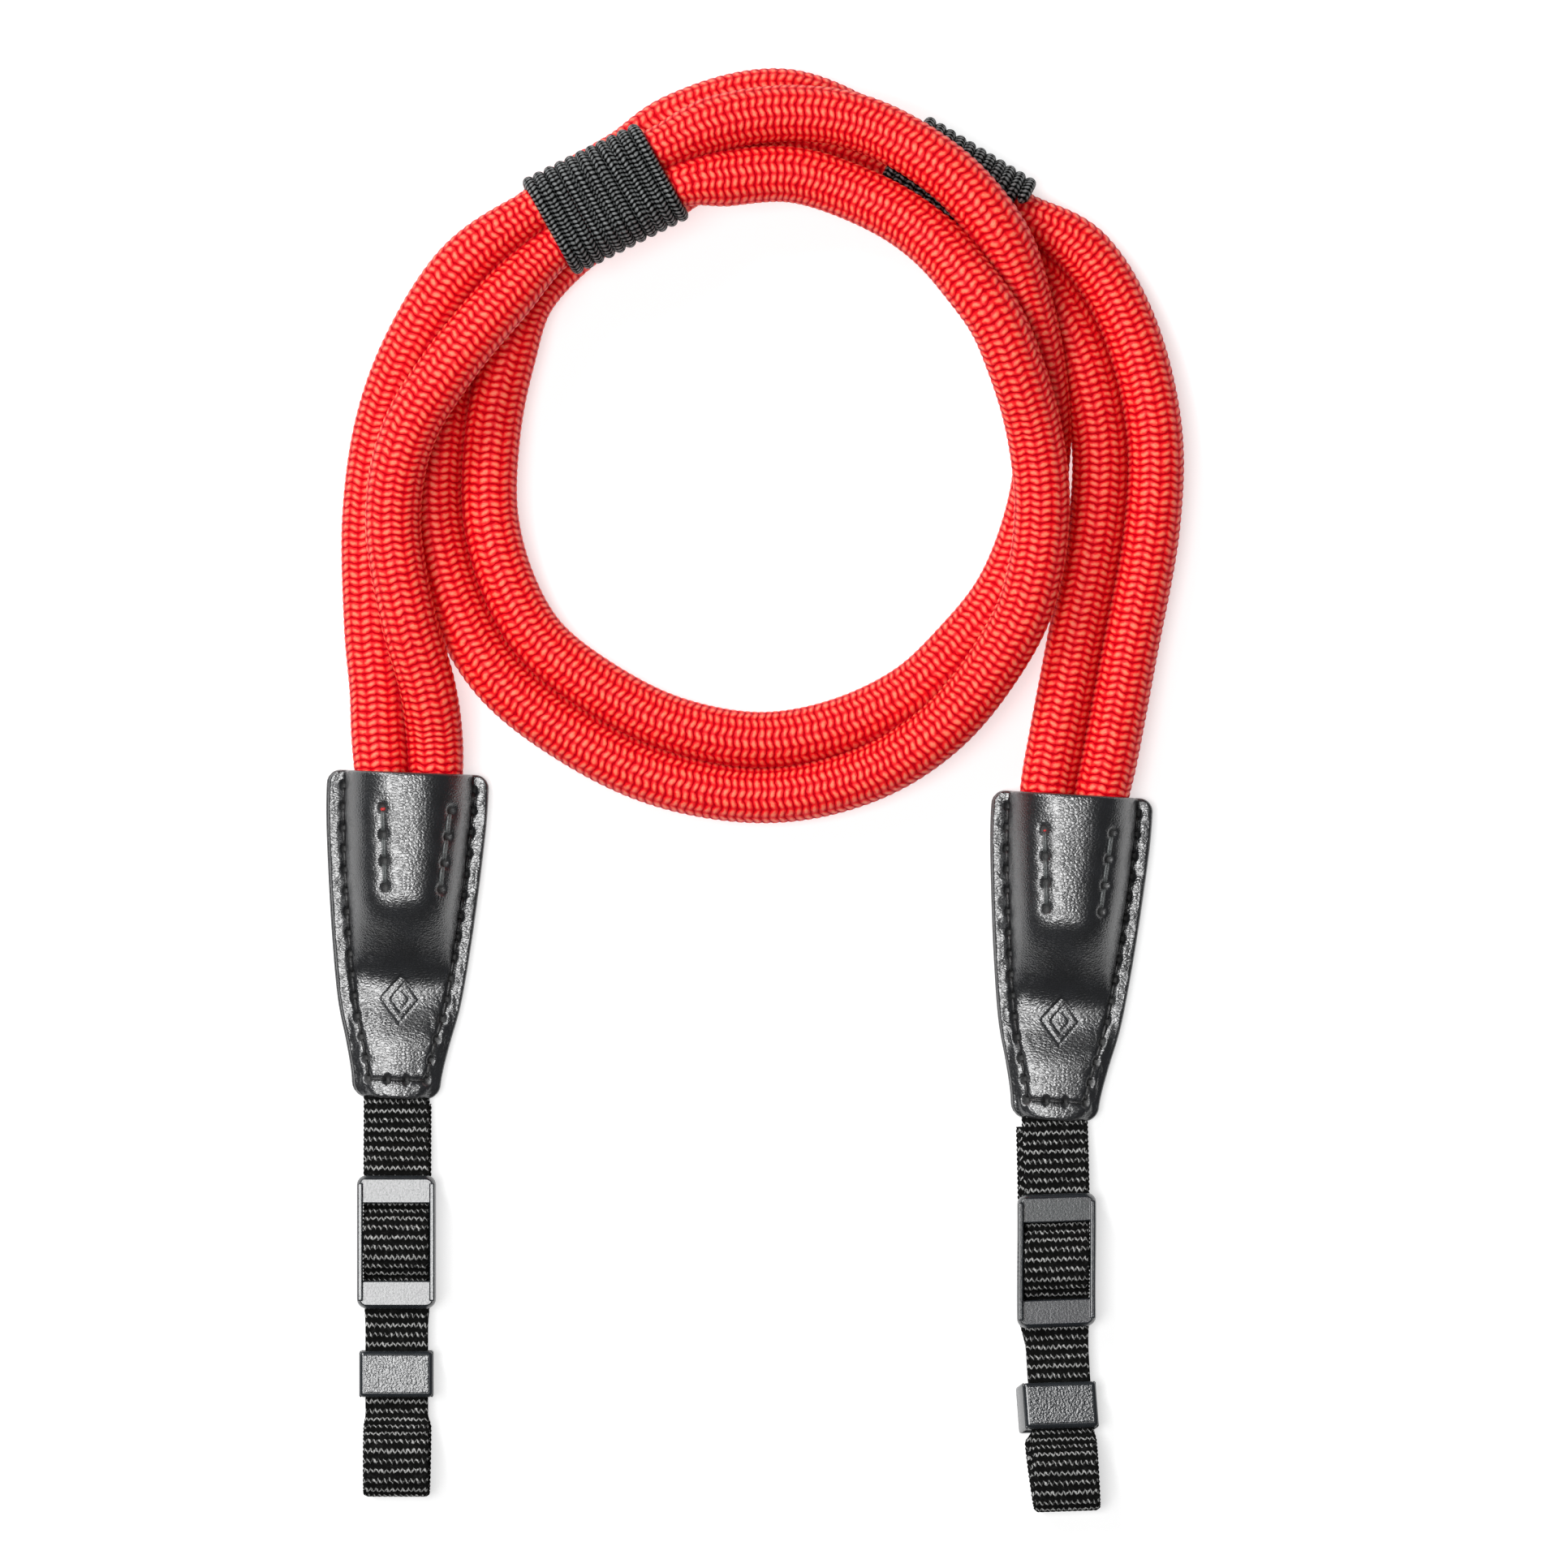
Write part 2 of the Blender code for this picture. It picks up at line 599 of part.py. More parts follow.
def build_all():
    clear_scene()
    build_ropes()
    for side in SIDES:
        build_whipping(side)
        build_tab_front(side)
        build_tab_back(side)
        build_seam_thread(side)
        build_rope_stitches(side)
        build_strap(side)
        build_slider(side)
        build_keeper(side)


build_all()
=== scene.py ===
"""Looks of the rope camera strap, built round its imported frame.

Lengths are in millimetres here and are turned into metres when a mesh is made.
"""

import math

import bpy
import numpy as np
from mathutils import Matrix, Vector, noise
from mathutils.kdtree import KDTree


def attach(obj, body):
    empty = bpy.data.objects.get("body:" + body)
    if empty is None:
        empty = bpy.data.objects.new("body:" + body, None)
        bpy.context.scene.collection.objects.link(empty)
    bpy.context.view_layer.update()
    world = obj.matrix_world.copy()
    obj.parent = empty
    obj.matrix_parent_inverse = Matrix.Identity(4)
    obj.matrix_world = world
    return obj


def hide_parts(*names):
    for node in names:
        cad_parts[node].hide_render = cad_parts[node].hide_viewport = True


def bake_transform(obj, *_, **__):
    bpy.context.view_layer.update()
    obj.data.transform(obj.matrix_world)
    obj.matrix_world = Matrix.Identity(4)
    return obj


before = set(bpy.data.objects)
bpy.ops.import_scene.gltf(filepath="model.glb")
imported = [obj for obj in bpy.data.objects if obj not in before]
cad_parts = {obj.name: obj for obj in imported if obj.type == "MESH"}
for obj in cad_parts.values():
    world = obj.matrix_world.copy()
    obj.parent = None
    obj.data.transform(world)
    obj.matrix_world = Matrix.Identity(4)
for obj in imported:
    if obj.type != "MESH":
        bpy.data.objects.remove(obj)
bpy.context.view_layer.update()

METRE = 0.001

# Camera: straight above, with a long lens
CAMERA_OVER = (6.4, 54.8)
CAMERA_HEIGHT = 2500.0
VIEW_WIDTH = 242.0
FLOOR_REACH = 6000.0
FLOOR_BELOW = 0.2

# Ropes. Each row of the route is x, y, height, roll of the pair and the ropes' spacing.
ROPE_RADIUS = 4.15
ROPE_GAP = 0.3
ROUTE = [
    (-52.1, 37.6, 4.6, 0, 7.6),
    (-51.7, 47.0, 4.9, 0, 8.0),
    (-51.4, 56.6, 5.1, 0, 8.35),
    (-51.7, 62.5, 5.3, -6, 8.6),
    (-52.3, 69.0, 6.2, -24, 8.6),
    (-54.2, 79.7, 7.5, -47, 8.6),
    (-55.5, 95.7, 8.4, -64, 8.6),
    (-53.4, 109.0, 10.7, -61, 8.9),
    (-47.9, 120.6, 13.4, -39, 8.6),
    (-39.4, 132.1, 14.6, -14, 8.4),
    (-29.8, 140.3, 14.2, 0, 6.5),
    (-11.6, 149.4, 14.2, 0, 6.5),
    (-3.1, 152.0, 13.4, 0, 8.6),
    (7.4, 153.1, 12.9, 0, 9.4),
    (16.9, 151.2, 13.3, 0, 10.4),
    (28.1, 145.1, 15.9, 0, 9.7),
    (35.4, 137.7, 17.3, -14, 8.8),
    (40.6, 128.3, 16.3, -52, 9.0),
    (43.6, 119.3, 13.9, -67, 9.1),
    (45.6, 108.8, 10.3, -80, 8.9),
    (45.4, 96.6, 8.6, -98, 8.6),
    (41.9, 83.6, 8.1, -118, 8.6),
    (35.9, 74.3, 7.4, -134, 8.6),
    (27.9, 65.9, 6.5, -149, 8.6),
    (16.9, 59.9, 5.0, -170, 8.6),
    (3.1, 57.3, 4.3, -180, 8.6),
    (-11.9, 59.9, 4.3, -180, 8.6),
    (-24.4, 66.1, 4.3, -180, 8.6),
    (-34.4, 74.1, 4.3, -180, 8.6),
    (-40.0, 83.7, 4.3, -180, 8.6),
    (-43.1, 95.6, 4.3, -180, 8.6),
    (-42.8, 108.9, 4.3, -180, 8.6),
    (-40.6, 120.6, 4.3, -180, 8.6),
    (-36.5, 131.9, 4.3, -180, 8.2),
    (-26.2, 142.1, 4.3, -180, 7.9),
    (-15.5, 148.2, 4.3, -180, 8.3),
    (-8.0, 153.1, 4.3, -180, 8.6),
    (5.9, 156.4, 4.3, -180, 8.6),
    (22.9, 151.1, 5.3, -180, 6.5),
    (41.2, 140.0, 5.3, -180, 6.5),
    (49.4, 133.9, 4.4, -180, 8.5),
    (55.3, 124.3, 4.3, -180, 8.6),
    (59.1, 109.3, 4.3, -180, 8.6),
    (58.9, 95.6, 4.3, -180, 8.6),
    (55.3, 75.4, 4.3, -180, 8.6),
    (52.4, 60.0, 4.9, -180, 8.6),
    (51.1, 53.2, 5.1, -180, 8.35),
    (50.5, 44.0, 4.9, -180, 8.0),
    (49.9, 34.3, 4.6, -180, 7.6),
]
BRAID_ROW = 1.22
BRAID_COLUMNS = 16
RINGS_A_ROW = 3
SECTORS_A_COLUMN = 4
BRAID_RELIEF = 0.24
STITCH_SLOPE = 0.35
STITCH_HALF = (0.5, 0.72)
# Reach of the painted shade in the nook between the two ropes
NOOK_SHADE_REACH = 1.0
SWELL_AT_TOUCH = 0.02
SWELL_SLOPE = 0.8
SWELL_MOST = 0.22
SWELL_FADES = (0.3, 0.9)
NECK_END = 12.5
NECK_INSIDE = 9.0
NECK_BEND = (1.0, 11.5)
NECK_BEND_HEIGHT = 5.2
NECK_SLIMMER = 0.35
NECK_SLIMS = (-6.0, -1.5)

# Whippings of thin cord
WHIPPING_ROWS = {"left": (10, 11), "right": (38, 39)}
WHIPPING_TURNS = 11
CORD_RADIUS = 0.9
CORD_GAP = 0.12
CORD_PITCH = 1.8
CORD_ROW = 0.7
CORD_COLUMNS = 6
CORD_RELIEF = 0.16
CORD_STRAYS = (0.16, 0.10)
WHIPPING_SHIFT = {"left": (-0.3, -0.6), "right": (0.0, 0.0)}
WHIPPED_SPACING = 6.5
WHIPPED_RADIUS = 3.25

# Leather tabs
LEATHER = 1.0
EDGE_ROUNDING = 0.45
EDGE_GREY = 0.34
TAB_LENGTH = 50.3
TAB_HALF_WIDTHS = [
    (0, 12.35), (6, 12.3), (14, 11.75), (26, 10.6), (36, 9.25), (42, 7.8), (47, 6.8), (50.3, 6.6),
]
TAB_TOP_CORNER = 2.1
TAB_BOTTOM_CORNER = 2.3
POCKET_HEIGHT = 9.0
POCKET_EXPONENT = 2.8
POCKET_MARGIN = 3.0
POCKET_FALLS = (18.5, 33.5)
LIFT_OVER_STRAP = (34.5, 42.5)
LEATHER_GRID = 0.26
TAB_BACK_GRID = 0.6
SEAM_INSET = 2.35
SEAM_BOTTOM = 2.9
SEAM_PITCH = 3.15
ROPE_STITCH_ROWS = {
    "left": {"inner": (-3.7, -2.8), "outer": (6.7, 5.6)},
    "right": {"inner": (-4.3, -3.3), "outer": (6.1, 5.05)},
}
ROPE_STITCH_SPAN = (5.6, 17.8)
MARK_AT = 35.0
MARK_SIZE = 3.6
MARK_DEPTH = 0.16

# Woven straps
STRAP_WIDTH = 9.95
STRAP = 1.0
STRAP_IN_TAB = 9.0
STRAP_RAISED = 1.3
STRAP_RISES = 10.0
TAIL_FROM_TAB = 0.9
TAIL_STARTS = 9.0
TAIL_GAP = 0.15
STRAP_BOW = {"left": 0.0, "right": -0.8}
STRAP_ROLL = {"left": 0.0, "right": -0.028}
BOW_AT = 33.0
BOW_REACH = 16.0
EYE_RADIUS = 3.1
EYE_FLAT = 3.4
EYE_NECK = 5.5
LAYER_GAP = 0.3
ARCH_CROWN = 0.45
ARCH_LINE_HALF = 7.0
WEB_ROW = 1.47
WEB_BUMP = 0.83
WEB_RELIEF = 0.34
EDGE_LOOPS = 0.16
STROKE_HALF = (0.34, 0.22)
STROKE_LEAN = -0.95
# Stretches of the strap that move together, as distances from the tab
FOLD_BEND = (0.1, 2.5)
ROOT_END = 2.6
ARCH_HALF = 6.7
STILL_IN_KEEPER = 1.0
STRAP_BEND_HEIGHT = 2.5

# Sliders and keepers
SLIDER_SIZE = (12.3, 20.7)
SLIDER_RAIL = 0.95
SLIDER_RIM = 0.62
SLIDER_WINDOW_END = 4.4
SLIDER_END_BAR = 3.9
SLIDER_MIDDLE_BAR = 3.3
SLIDER_BOTTOM = 2.2
SLIDER_BAR_UNDERSIDE = 3.95
SLIDER_BAR_TOP = 5.5
SLIDER_TOP = 6.6
KEEPER_SIZE = (11.4, 7.1)
KEEPER_TOP = 5.4
KEEPER_WALL = 0.42
KEEPER_TRAVEL = {"left": (3.2, 2.7), "right": (4.4, 0.4)}
KEEPER_FADES = (7.0, 2.0)
KEEPER_SQUEEZE = 0.035
KEEPER_TILT = {"left": (0.0, 0.0), "right": (-0.2, -0.18)}
DRIFT_IN_KEEPER = 0.05
FLAT_SUPPORTS = (0.008, 0.2, 0.4, 0.6, 0.8, 0.992)

SIDES = {
    "left": {"mouth": (-51.4, 56.6), "tab_lean": 2.2, "strap_lean": 0.0,
             "slider_at": 11.75, "keeper_at": 38.9, "fold_at": 61.4, "tail_drift": 0.25},
    "right": {"mouth": (51.05, 53.2), "tab_lean": 3.3, "strap_lean": -1.9,
              "slider_at": 11.25, "keeper_at": 40.2, "fold_at": 60.3, "tail_drift": -0.9},
}
SEEDS = {
    "left": {"cord": 3.0, "front": 11.0, "back": 31.0},
    "right": {"cord": 7.0, "front": 23.0, "back": 47.0},
}
TAB_BACK_WIDER = 0.12
TAB_BACK_SHIFT = {"left": -0.22, "right": -0.1}
ROPE_SEEN_IN_HOLE = {"left": 0.34, "right": 0.2}


# ---------------- materials


class Value:
    """A number, vector or colour that a material works out, so that sums read as sums."""

    def __init__(self, shade, socket):
        self.shade = shade
        self.socket = socket

    def __add__(self, other):
        return self.shade.math("ADD", self, other)

    def __sub__(self, other):
        return self.shade.math("SUBTRACT", self, other)

    def __rsub__(self, other):
        return self.shade.math("SUBTRACT", other, self)

    def __mul__(self, other):
        return self.shade.math("MULTIPLY", self, other)

    def __pow__(self, power):
        return self.shade.math("POWER", self, power)


class Shade:
    """One node material. Its sums take values and plain numbers alike."""

    def __init__(self, name, roughness, specular=0.5):
        self.material = bpy.data.materials.new(name)
        self.material.use_nodes = True
        self.tree = self.material.node_tree
        self.surface = self.tree.nodes["Principled BSDF"].inputs
        self.surface["Roughness"].default_value = roughness
        self.surface["Specular IOR Level"].default_value = specular

    def node(self, kind, **settings):
        made = self.tree.nodes.new(kind)
        for key, value in settings.items():
            setattr(made, key, value)
        return made

    def put(self, socket, value):
        if isinstance(value, Value):
            self.tree.links.new(value.socket, socket)
        else:
            socket.default_value = value

    def math(self, operation, *values):
        made = self.node("ShaderNodeMath", operation=operation)
        for socket, value in zip(made.inputs, values):
            self.put(socket, value)
        return Value(self, made.outputs[0])

    def attribute(self, name, kind="Fac"):
        """What the mesh's points hold under this name."""
        return Value(self, self.node("ShaderNodeAttribute", attribute_name=name).outputs[kind])

    def split(self, name):
        made = self.node("ShaderNodeSeparateXYZ")
        self.put(made.inputs[0], self.attribute(name, "Vector"))
        return [Value(self, output) for output in made.outputs]

    def texture(self, kind, size, stretch=(1.0, 1.0, 1.0), **settings):
        """A texture with features about size millimetres across, on the object's own points."""
        place = self.node("ShaderNodeMapping")
        self.put(place.inputs["Vector"], Value(self, self.node("ShaderNodeTexCoord").outputs["Object"]))
        place.inputs["Scale"].default_value = stretch
        made = self.node(kind, **settings)
        self.put(made.inputs["Vector"], Value(self, place.outputs[0]))
        made.inputs["Scale"].default_value = 1.0 / (size * METRE)
        return made

    def noise(self, size, detail=2.0):
        made = self.texture("ShaderNodeTexNoise", size)
        made.inputs["Detail"].default_value = detail
        return Value(self, made.outputs["Fac"])

    def cells(self, size, stretch):
        """Distance to the nearest border between random cells."""
        made = self.texture("ShaderNodeTexVoronoi", size, stretch, feature="DISTANCE_TO_EDGE")
        return Value(self, made.outputs["Distance"])

    def oval(self, along, across, half):
        """Height that falls from 1 in an oval's middle to 0 at its rim."""
        a = self.math("DIVIDE", along, half[0])
        b = self.math("DIVIDE", across, half[1])
        return self.math("SQRT", self.math("MAXIMUM", 1.0 - (a * a + b * b), 0.0))

    def ramp(self, value, stops):
        made = self.node("ShaderNodeValToRGB")
        elements = made.color_ramp.elements
        while len(elements) < len(stops):
            elements.new(0.5)
        for element, (at, colour) in zip(elements, stops):
            element.position = at
            element.color = (*colour, 1.0)
        self.put(made.inputs[0], value)
        return Value(self, made.outputs[0])

    def colour_mix(self, share, first, second):
        made = self.node("ShaderNodeMix", data_type="RGBA")
        self.put(made.inputs[0], share)
        self.put(made.inputs[6], first)
        made.inputs[7].default_value = (*second, 1.0)
        return Value(self, made.outputs[2])

    def bump(self, height, depth, below=None):
        """Relief of depth millimetres for a height that runs from 0 to 1."""
        made = self.node("ShaderNodeBump")
        made.inputs["Distance"].default_value = depth * METRE
        self.put(made.inputs["Height"], height)
        if below is not None:
            self.put(made.inputs["Normal"], below)
        return Value(self, made.outputs[0])

    def glow(self, colour, strength):
        self.surface["Emission Color"].default_value = (*colour, 1.0)
        self.surface["Emission Strength"].default_value = strength

    def finish(self, colour, roughness=None, normal=None, specular=None):
        names = ("Base Color", "Roughness", "Normal", "Specular IOR Level")
        for name, value in zip(names, (colour, roughness, normal, specular)):
            if value is not None:
                self.put(self.surface[name], value)
        return self.material


def braid_stitch(shade, columns, wobble_size, wobble):
    """Height of a braid's stitches, and the position along and across a stitch, from -0.5 to 0.5."""
    x, y, rows = shade.split("braid")
    around = shade.math("ARCTAN2", y, x) * (columns / (2 * math.pi))
    column = shade.math("FLOOR", around)
    across = around - column - 0.5
    lean = shade.math("FLOORED_MODULO", column, 2.0) * (-2.0 * STITCH_SLOPE) + STITCH_SLOPE
    stir = shade.noise(wobble_size, 1.0) * wobble - wobble / 2
    along = shade.math("FRACT", across * lean + rows + stir) - 0.5
    return shade.oval(along, across, STITCH_HALF), along, across


def rope_material():
    shade = Shade("red_braid", 0.42, 0.3)
    height, along, across = braid_stitch(shade, BRAID_COLUMNS, 1.2, 0.5)
    yarns = shade.math("SINE", (across * 0.12 + along) * 44.0)
    fuzz = shade.noise(0.22, 3.0)
    crest = height * height
    # The ramp paints a highlight on each stitch's crest and painted shade in the gaps between stitches.
    colour = shade.ramp((fuzz - 0.5) * 0.45 + crest + yarns * 0.05, [
        (0.0, (0.50, 0.0, 0.006)), (0.36, (0.80, 0.003, 0.010)), (0.68, (0.92, 0.022, 0.02)),
        (1.0, (1.0, 0.23, 0.125)),
    ])
    # Painted shade: the rope is darkened in the nook where it touches the other rope.
    colour = shade.colour_mix(shade.attribute("painted_nook_shade") * 0.75, colour, (0.34, 0.0, 0.008))
    # Painted light: a faint red glow that lifts the rope where it lies in shade.
    shade.glow((1.0, 0.0, 0.012), 0.035)
    normal = shade.bump(yarns * 0.055 + height + fuzz * 0.22, 0.15)
    return shade.finish(colour, fuzz * 0.2 + 0.38, normal, crest * 0.3 + 0.02)


def cord_material():
    shade = Shade("black_braid", 0.4, 0.3)
    height, _, _ = braid_stitch(shade, CORD_COLUMNS, 0.9, 0.24)
    fuzz = shade.noise(0.16)
    # The ramp paints a grey highlight on each stitch's crest and painted shade in the troughs.
    colour = shade.ramp((fuzz - 0.5) * 0.6 + height, [
        (0.35, (0.0008, 0.0008, 0.0008)), (0.72, (0.007, 0.0072, 0.0074)), (1.0, (0.19, 0.198, 0.2)),
    ])
    return shade.finish(colour, 0.4, shade.bump(fuzz * 0.3 + height, 0.13), height**3.0 * 0.5)


def webbing_material():
    shade = Shade("black_webbing", 0.5, 0.35)
    across, along, _ = shade.split("weave")
    along = shade.noise(1.1, 1.0) * 0.3 + (along - 0.15)
    row = shade.math("FLOOR", along)
    rise = along - row - 0.5
    odd = shade.math("FLOORED_MODULO", row, 2.0)
    shifted = shade.noise(0.7) * 0.9 + (odd * 0.5 + across)
    strokes = []
    for lean, offset in ((STROKE_LEAN, 0.0), (-STROKE_LEAN, 0.5)):
        side = shade.math("FRACT", rise * lean + shifted + offset) - 0.5
        strokes.append(shade.oval(rise, side, STROKE_HALF))
    height = shade.math("MAXIMUM", strokes[0], strokes[1] * (odd * 0.3 + 0.55))
    fuzz = shade.noise(0.22)
    # The ramp paints a grey highlight on the strokes' tops and painted shade in the hollows between strokes;
    # the noises add tone that differs at random.
    tone = (fuzz - 0.5) * 0.8 + height + (shade.noise(0.8) - 0.5) * 0.9
    colour = shade.ramp(tone, [
        (0.0, (0.006, 0.006, 0.0058)), (0.5, (0.022, 0.022, 0.0215)), (1.0, (0.45, 0.45, 0.44)),
    ])
    return shade.finish(colour, 0.5, shade.bump(fuzz * 0.35 + height, 0.2), height * height * 0.5)


def leather_material():
    shade = Shade("black_leather", 0.3, 0.8)
    grain = shade.math("MINIMUM", shade.cells(0.42, (0.62, 1.0, 1.0)) * 3.0, 1.0)
    fine = shade.noise(0.2, 3.0)
    broad = shade.noise(2.6)
    painted_hole_shade = shade.attribute("painted_hole_shade")
    colour = shade.ramp(broad, [(0.35, (0.006, 0.0066, 0.008)), (0.7, (0.010, 0.011, 0.0135))])
    colour = shade.colour_mix(shade.attribute("edge"), colour, (0.05, 0.05, 0.052))
    # Painted shade: the needle holes are darkened to near black.
    colour = shade.colour_mix(painted_hole_shade, colour, (0.001, 0.001, 0.001))
    shade.surface["IOR"].default_value = 1.72
    normal = shade.bump(fine * 0.6 + grain, 0.026, shade.bump(broad, 0.07))
    return shade.finish(colour, fine * 0.12 + 0.24 + painted_hole_shade * 0.5, normal)


def thread_material(name, colour, roughness):
    shade = Shade(name, roughness, 0.7)
    fine = shade.noise(0.25)
    dark = tuple(c * 0.4 for c in colour)
    return shade.finish(shade.ramp(fine, [(0.3, dark), (0.7, colour)]), None, shade.bump(fine, 0.12))


def plastic_material(name, grain_depth, roughness):
    shade = Shade(name, roughness, 0.9)
    grain = shade.noise(0.34)
    tones = [(0.3, (0.011, 0.0135, 0.0165)), (0.7, (0.016, 0.0195, 0.0235))]
    colour = shade.ramp(shade.noise(4.0, 1.0), tones)
    return shade.finish(colour, grain * 0.12 + (roughness - 0.06), shade.bump(grain, grain_depth))


def floor_material():
    shade = Shade("pale_floor", 0.9, 0.0)
    shade.glow((1.0, 1.0, 1.0), 0.62)
    return shade.finish(shade.ramp(shade.noise(60.0, 1.0), [(0.0, (0.49,) * 3), (1.0, (0.51,) * 3)]))


# ---------------- meshes


def smoothstep(value, start, end):
    t = np.clip((np.asarray(value, float) - start) / (end - start), 0.0, 1.0)
    return t * t * (3.0 - 2.0 * t)


def smooth_curve(rows, count, used=3, steps=60):
    """count rows spaced evenly along the smooth curve through the given rows.

    The first `used` columns are the position that the spacing is measured on.
    """
    rows = np.array(rows, float)
    chords = np.linalg.norm(np.diff(rows[:, :used], axis=0), axis=1)
    at = np.concatenate([[0.0], np.cumsum(np.sqrt(chords))])
    slopes = np.diff(rows, axis=0) / np.diff(at)[:, None]
    tangents = np.empty_like(rows)
    tangents[0], tangents[-1] = slopes[0], slopes[-1]
    before, after = np.diff(at)[:-1, None], np.diff(at)[1:, None]
    tangents[1:-1] = (slopes[:-1] * after + slopes[1:] * before) / (before + after)
    fine = []
    for k in range(len(rows) - 1):
        span = at[k + 1] - at[k]
        t = np.linspace(0.0, 1.0, steps, endpoint=k == len(rows) - 2)[:, None]
        fine.append(
            (2 * t**3 - 3 * t**2 + 1) * rows[k] + (t**3 - 2 * t**2 + t) * span * tangents[k]
            + (3 * t**2 - 2 * t**3) * rows[k + 1] + (t**3 - t**2) * span * tangents[k + 1]
        )
    fine = np.concatenate(fine)
    walked = lengths_along(fine[:, :used])
    return resample(fine, walked, np.linspace(0.0, walked[-1], count))


def lengths_along(points):
    steps = np.linalg.norm(np.diff(points, axis=0), axis=1)
    return np.concatenate([[0.0], np.cumsum(steps)])


def resample(rows, walked, wanted):
    return np.stack([np.interp(wanted, walked, column) for column in rows.T], axis=1)


def smoothed(rows, width):
    """Rows averaged with their neighbours, by a bell curve of this width, with both ends kept."""
    kernel = np.exp(-0.5 * (np.arange(-3 * width, 3 * width + 1) / width) ** 2)
    kernel /= kernel.sum()
    padded = np.pad(rows, ((3 * width, 3 * width), (0, 0)), mode="reflect", reflect_type="odd")
    return np.stack([np.convolve(column, kernel, mode="valid") for column in padded.T], axis=1)


def directions(points):
    """Unit vectors along a line of points."""
    along = np.gradient(points, axis=0)
    return along / np.linalg.norm(along, axis=1)[:, None]


def left_of(line):
    """Unit vectors to the left of a flat line."""
    return directions(line)[:, ::-1] * (-1, 1)


def random_line(at, scale, level, seed):
    """Smooth random values from about -1 to 1 at each place."""
    return np.array([noise.noise((a * scale, level, seed)) for a in at])


def bell(distance, width):
    """1 at no distance, falling smoothly to nothing at about twice the width."""
    return np.exp(-((distance / width) ** 2))


def loft(sections, capped=True):
    """Points and faces of a closed body through loops of points, one loop to a section."""
    count, size = sections.shape[:2]
    index = np.arange(count * size).reshape(count, size)
    index = np.concatenate([index, index[:, :1]], axis=1)
    faces = np.stack([index[:-1, :-1], index[:-1, 1:], index[1:, 1:], index[1:, :-1]], axis=-1)
    faces = faces.reshape(-1, 4)
    points = sections.reshape(-1, 3)
    corners = points[faces]
    area = np.cross(corners[:, 2] - corners[:, 0], corners[:, 3] - corners[:, 1])
    middle = corners.mean(axis=1)
    inward = np.sum(area * (middle - points.mean(axis=0))) < 0
    if capped:
        strip = np.arange(size // 2)
        strip = np.stack([strip[:-1], strip[1:], size - 1 - strip[1:], size - 1 - strip[:-1]], axis=1)
        start = count * size
        faces = np.concatenate([faces, strip + start, strip[:, ::-1] + start + size])
        points = np.concatenate([points, sections[0], sections[-1]])
    if inward:
        faces = faces[:, ::-1]
    return points, faces


def build(name, parts, stuff, attributes=None, place=None):
    """One mesh object from lofts in millimetres; attributes hold one value or vector for each point."""
    points, faces, start = [], [], 0
    for part_points, part_faces in parts:
        points.append(part_points)
        faces.append(part_faces + start)
        start += len(part_points)
    points = np.concatenate(points) * METRE
    faces = np.concatenate(faces)
    data = bpy.data.meshes.new(name)
    data.vertices.add(len(points))
    data.vertices.foreach_set("co", points.astype(np.float32).ravel())
    data.loops.add(faces.size)
    data.loops.foreach_set("vertex_index", faces.astype(np.int32).ravel())
    data.polygons.add(len(faces))
    data.polygons.foreach_set("loop_start", np.arange(0, faces.size, 4, dtype=np.int32))
    data.update(calc_edges=True)
    data.validate()
    data.shade_smooth()
    for key, values in (attributes or {}).items():
        values = np.asarray(values, np.float32)
        kind, field = ("FLOAT_VECTOR", "vector") if values.ndim == 2 else ("FLOAT", "value")
        data.attributes.new(key, kind, "POINT").data.foreach_set(field, values.ravel())
    data.materials.append(stuff)
    made = bpy.data.objects.new(name, data)
    bpy.context.scene.collection.objects.link(made)
    if place is not None:
        made.matrix_world = place
    return made


def settle(made, body, node=None):
    """The body that a piece moves with, and the CAD node that it stands for, which is hidden."""
    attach(made, body)
    if node:
        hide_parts(node)


def with_caps(values, count, size):
    """Point values of a loft, repeated for its two caps."""
    values = values.reshape(count, size, -1)
    flat = np.concatenate([values.reshape(count * size, -1), values[0], values[-1]])
    return flat[:, 0] if flat.shape[1] == 1 else flat


def side_frame(origin, lean):
    """A place on the table whose own down direction leans by this many degrees."""
    turn = Matrix.Rotation(math.radians(-lean), 4, "Z")
    return Matrix.Translation(Vector((origin[0], origin[1], 0.0)) * METRE) @ turn


def tab_frame(side):
    return side_frame(SIDES[side]["mouth"], SIDES[side]["tab_lean"])


def strap_frame(side):
    lean = math.radians(SIDES[side]["tab_lean"])
    x, y = SIDES[side]["mouth"]
    end = (x - TAB_LENGTH * math.sin(lean), y - TAB_LENGTH * math.cos(lean))
    return side_frame(end, SIDES[side]["strap_lean"])


def frame_point(place, x, down, height):
    """A point of the scene, in metres, from millimetres in a tab's or strap's own frame."""
    return place @ (Vector((x, -down, height)) * METRE)


# ---------------- braided ropes and cord


def rolling_frames(points):
    """Two unit vectors across the path at each point, turning as little as they can."""
    along = directions(points)
    first = np.empty_like(points)
    guess = np.cross(along[0], [0.0, 0.0, 1.0])
    first[0] = guess / np.linalg.norm(guess)
    for k in range(1, len(points)):
        guess = first[k - 1] - along[k] * np.dot(first[k - 1], along[k])
        first[k] = guess / np.linalg.norm(guess)
    return first, np.cross(along, first)


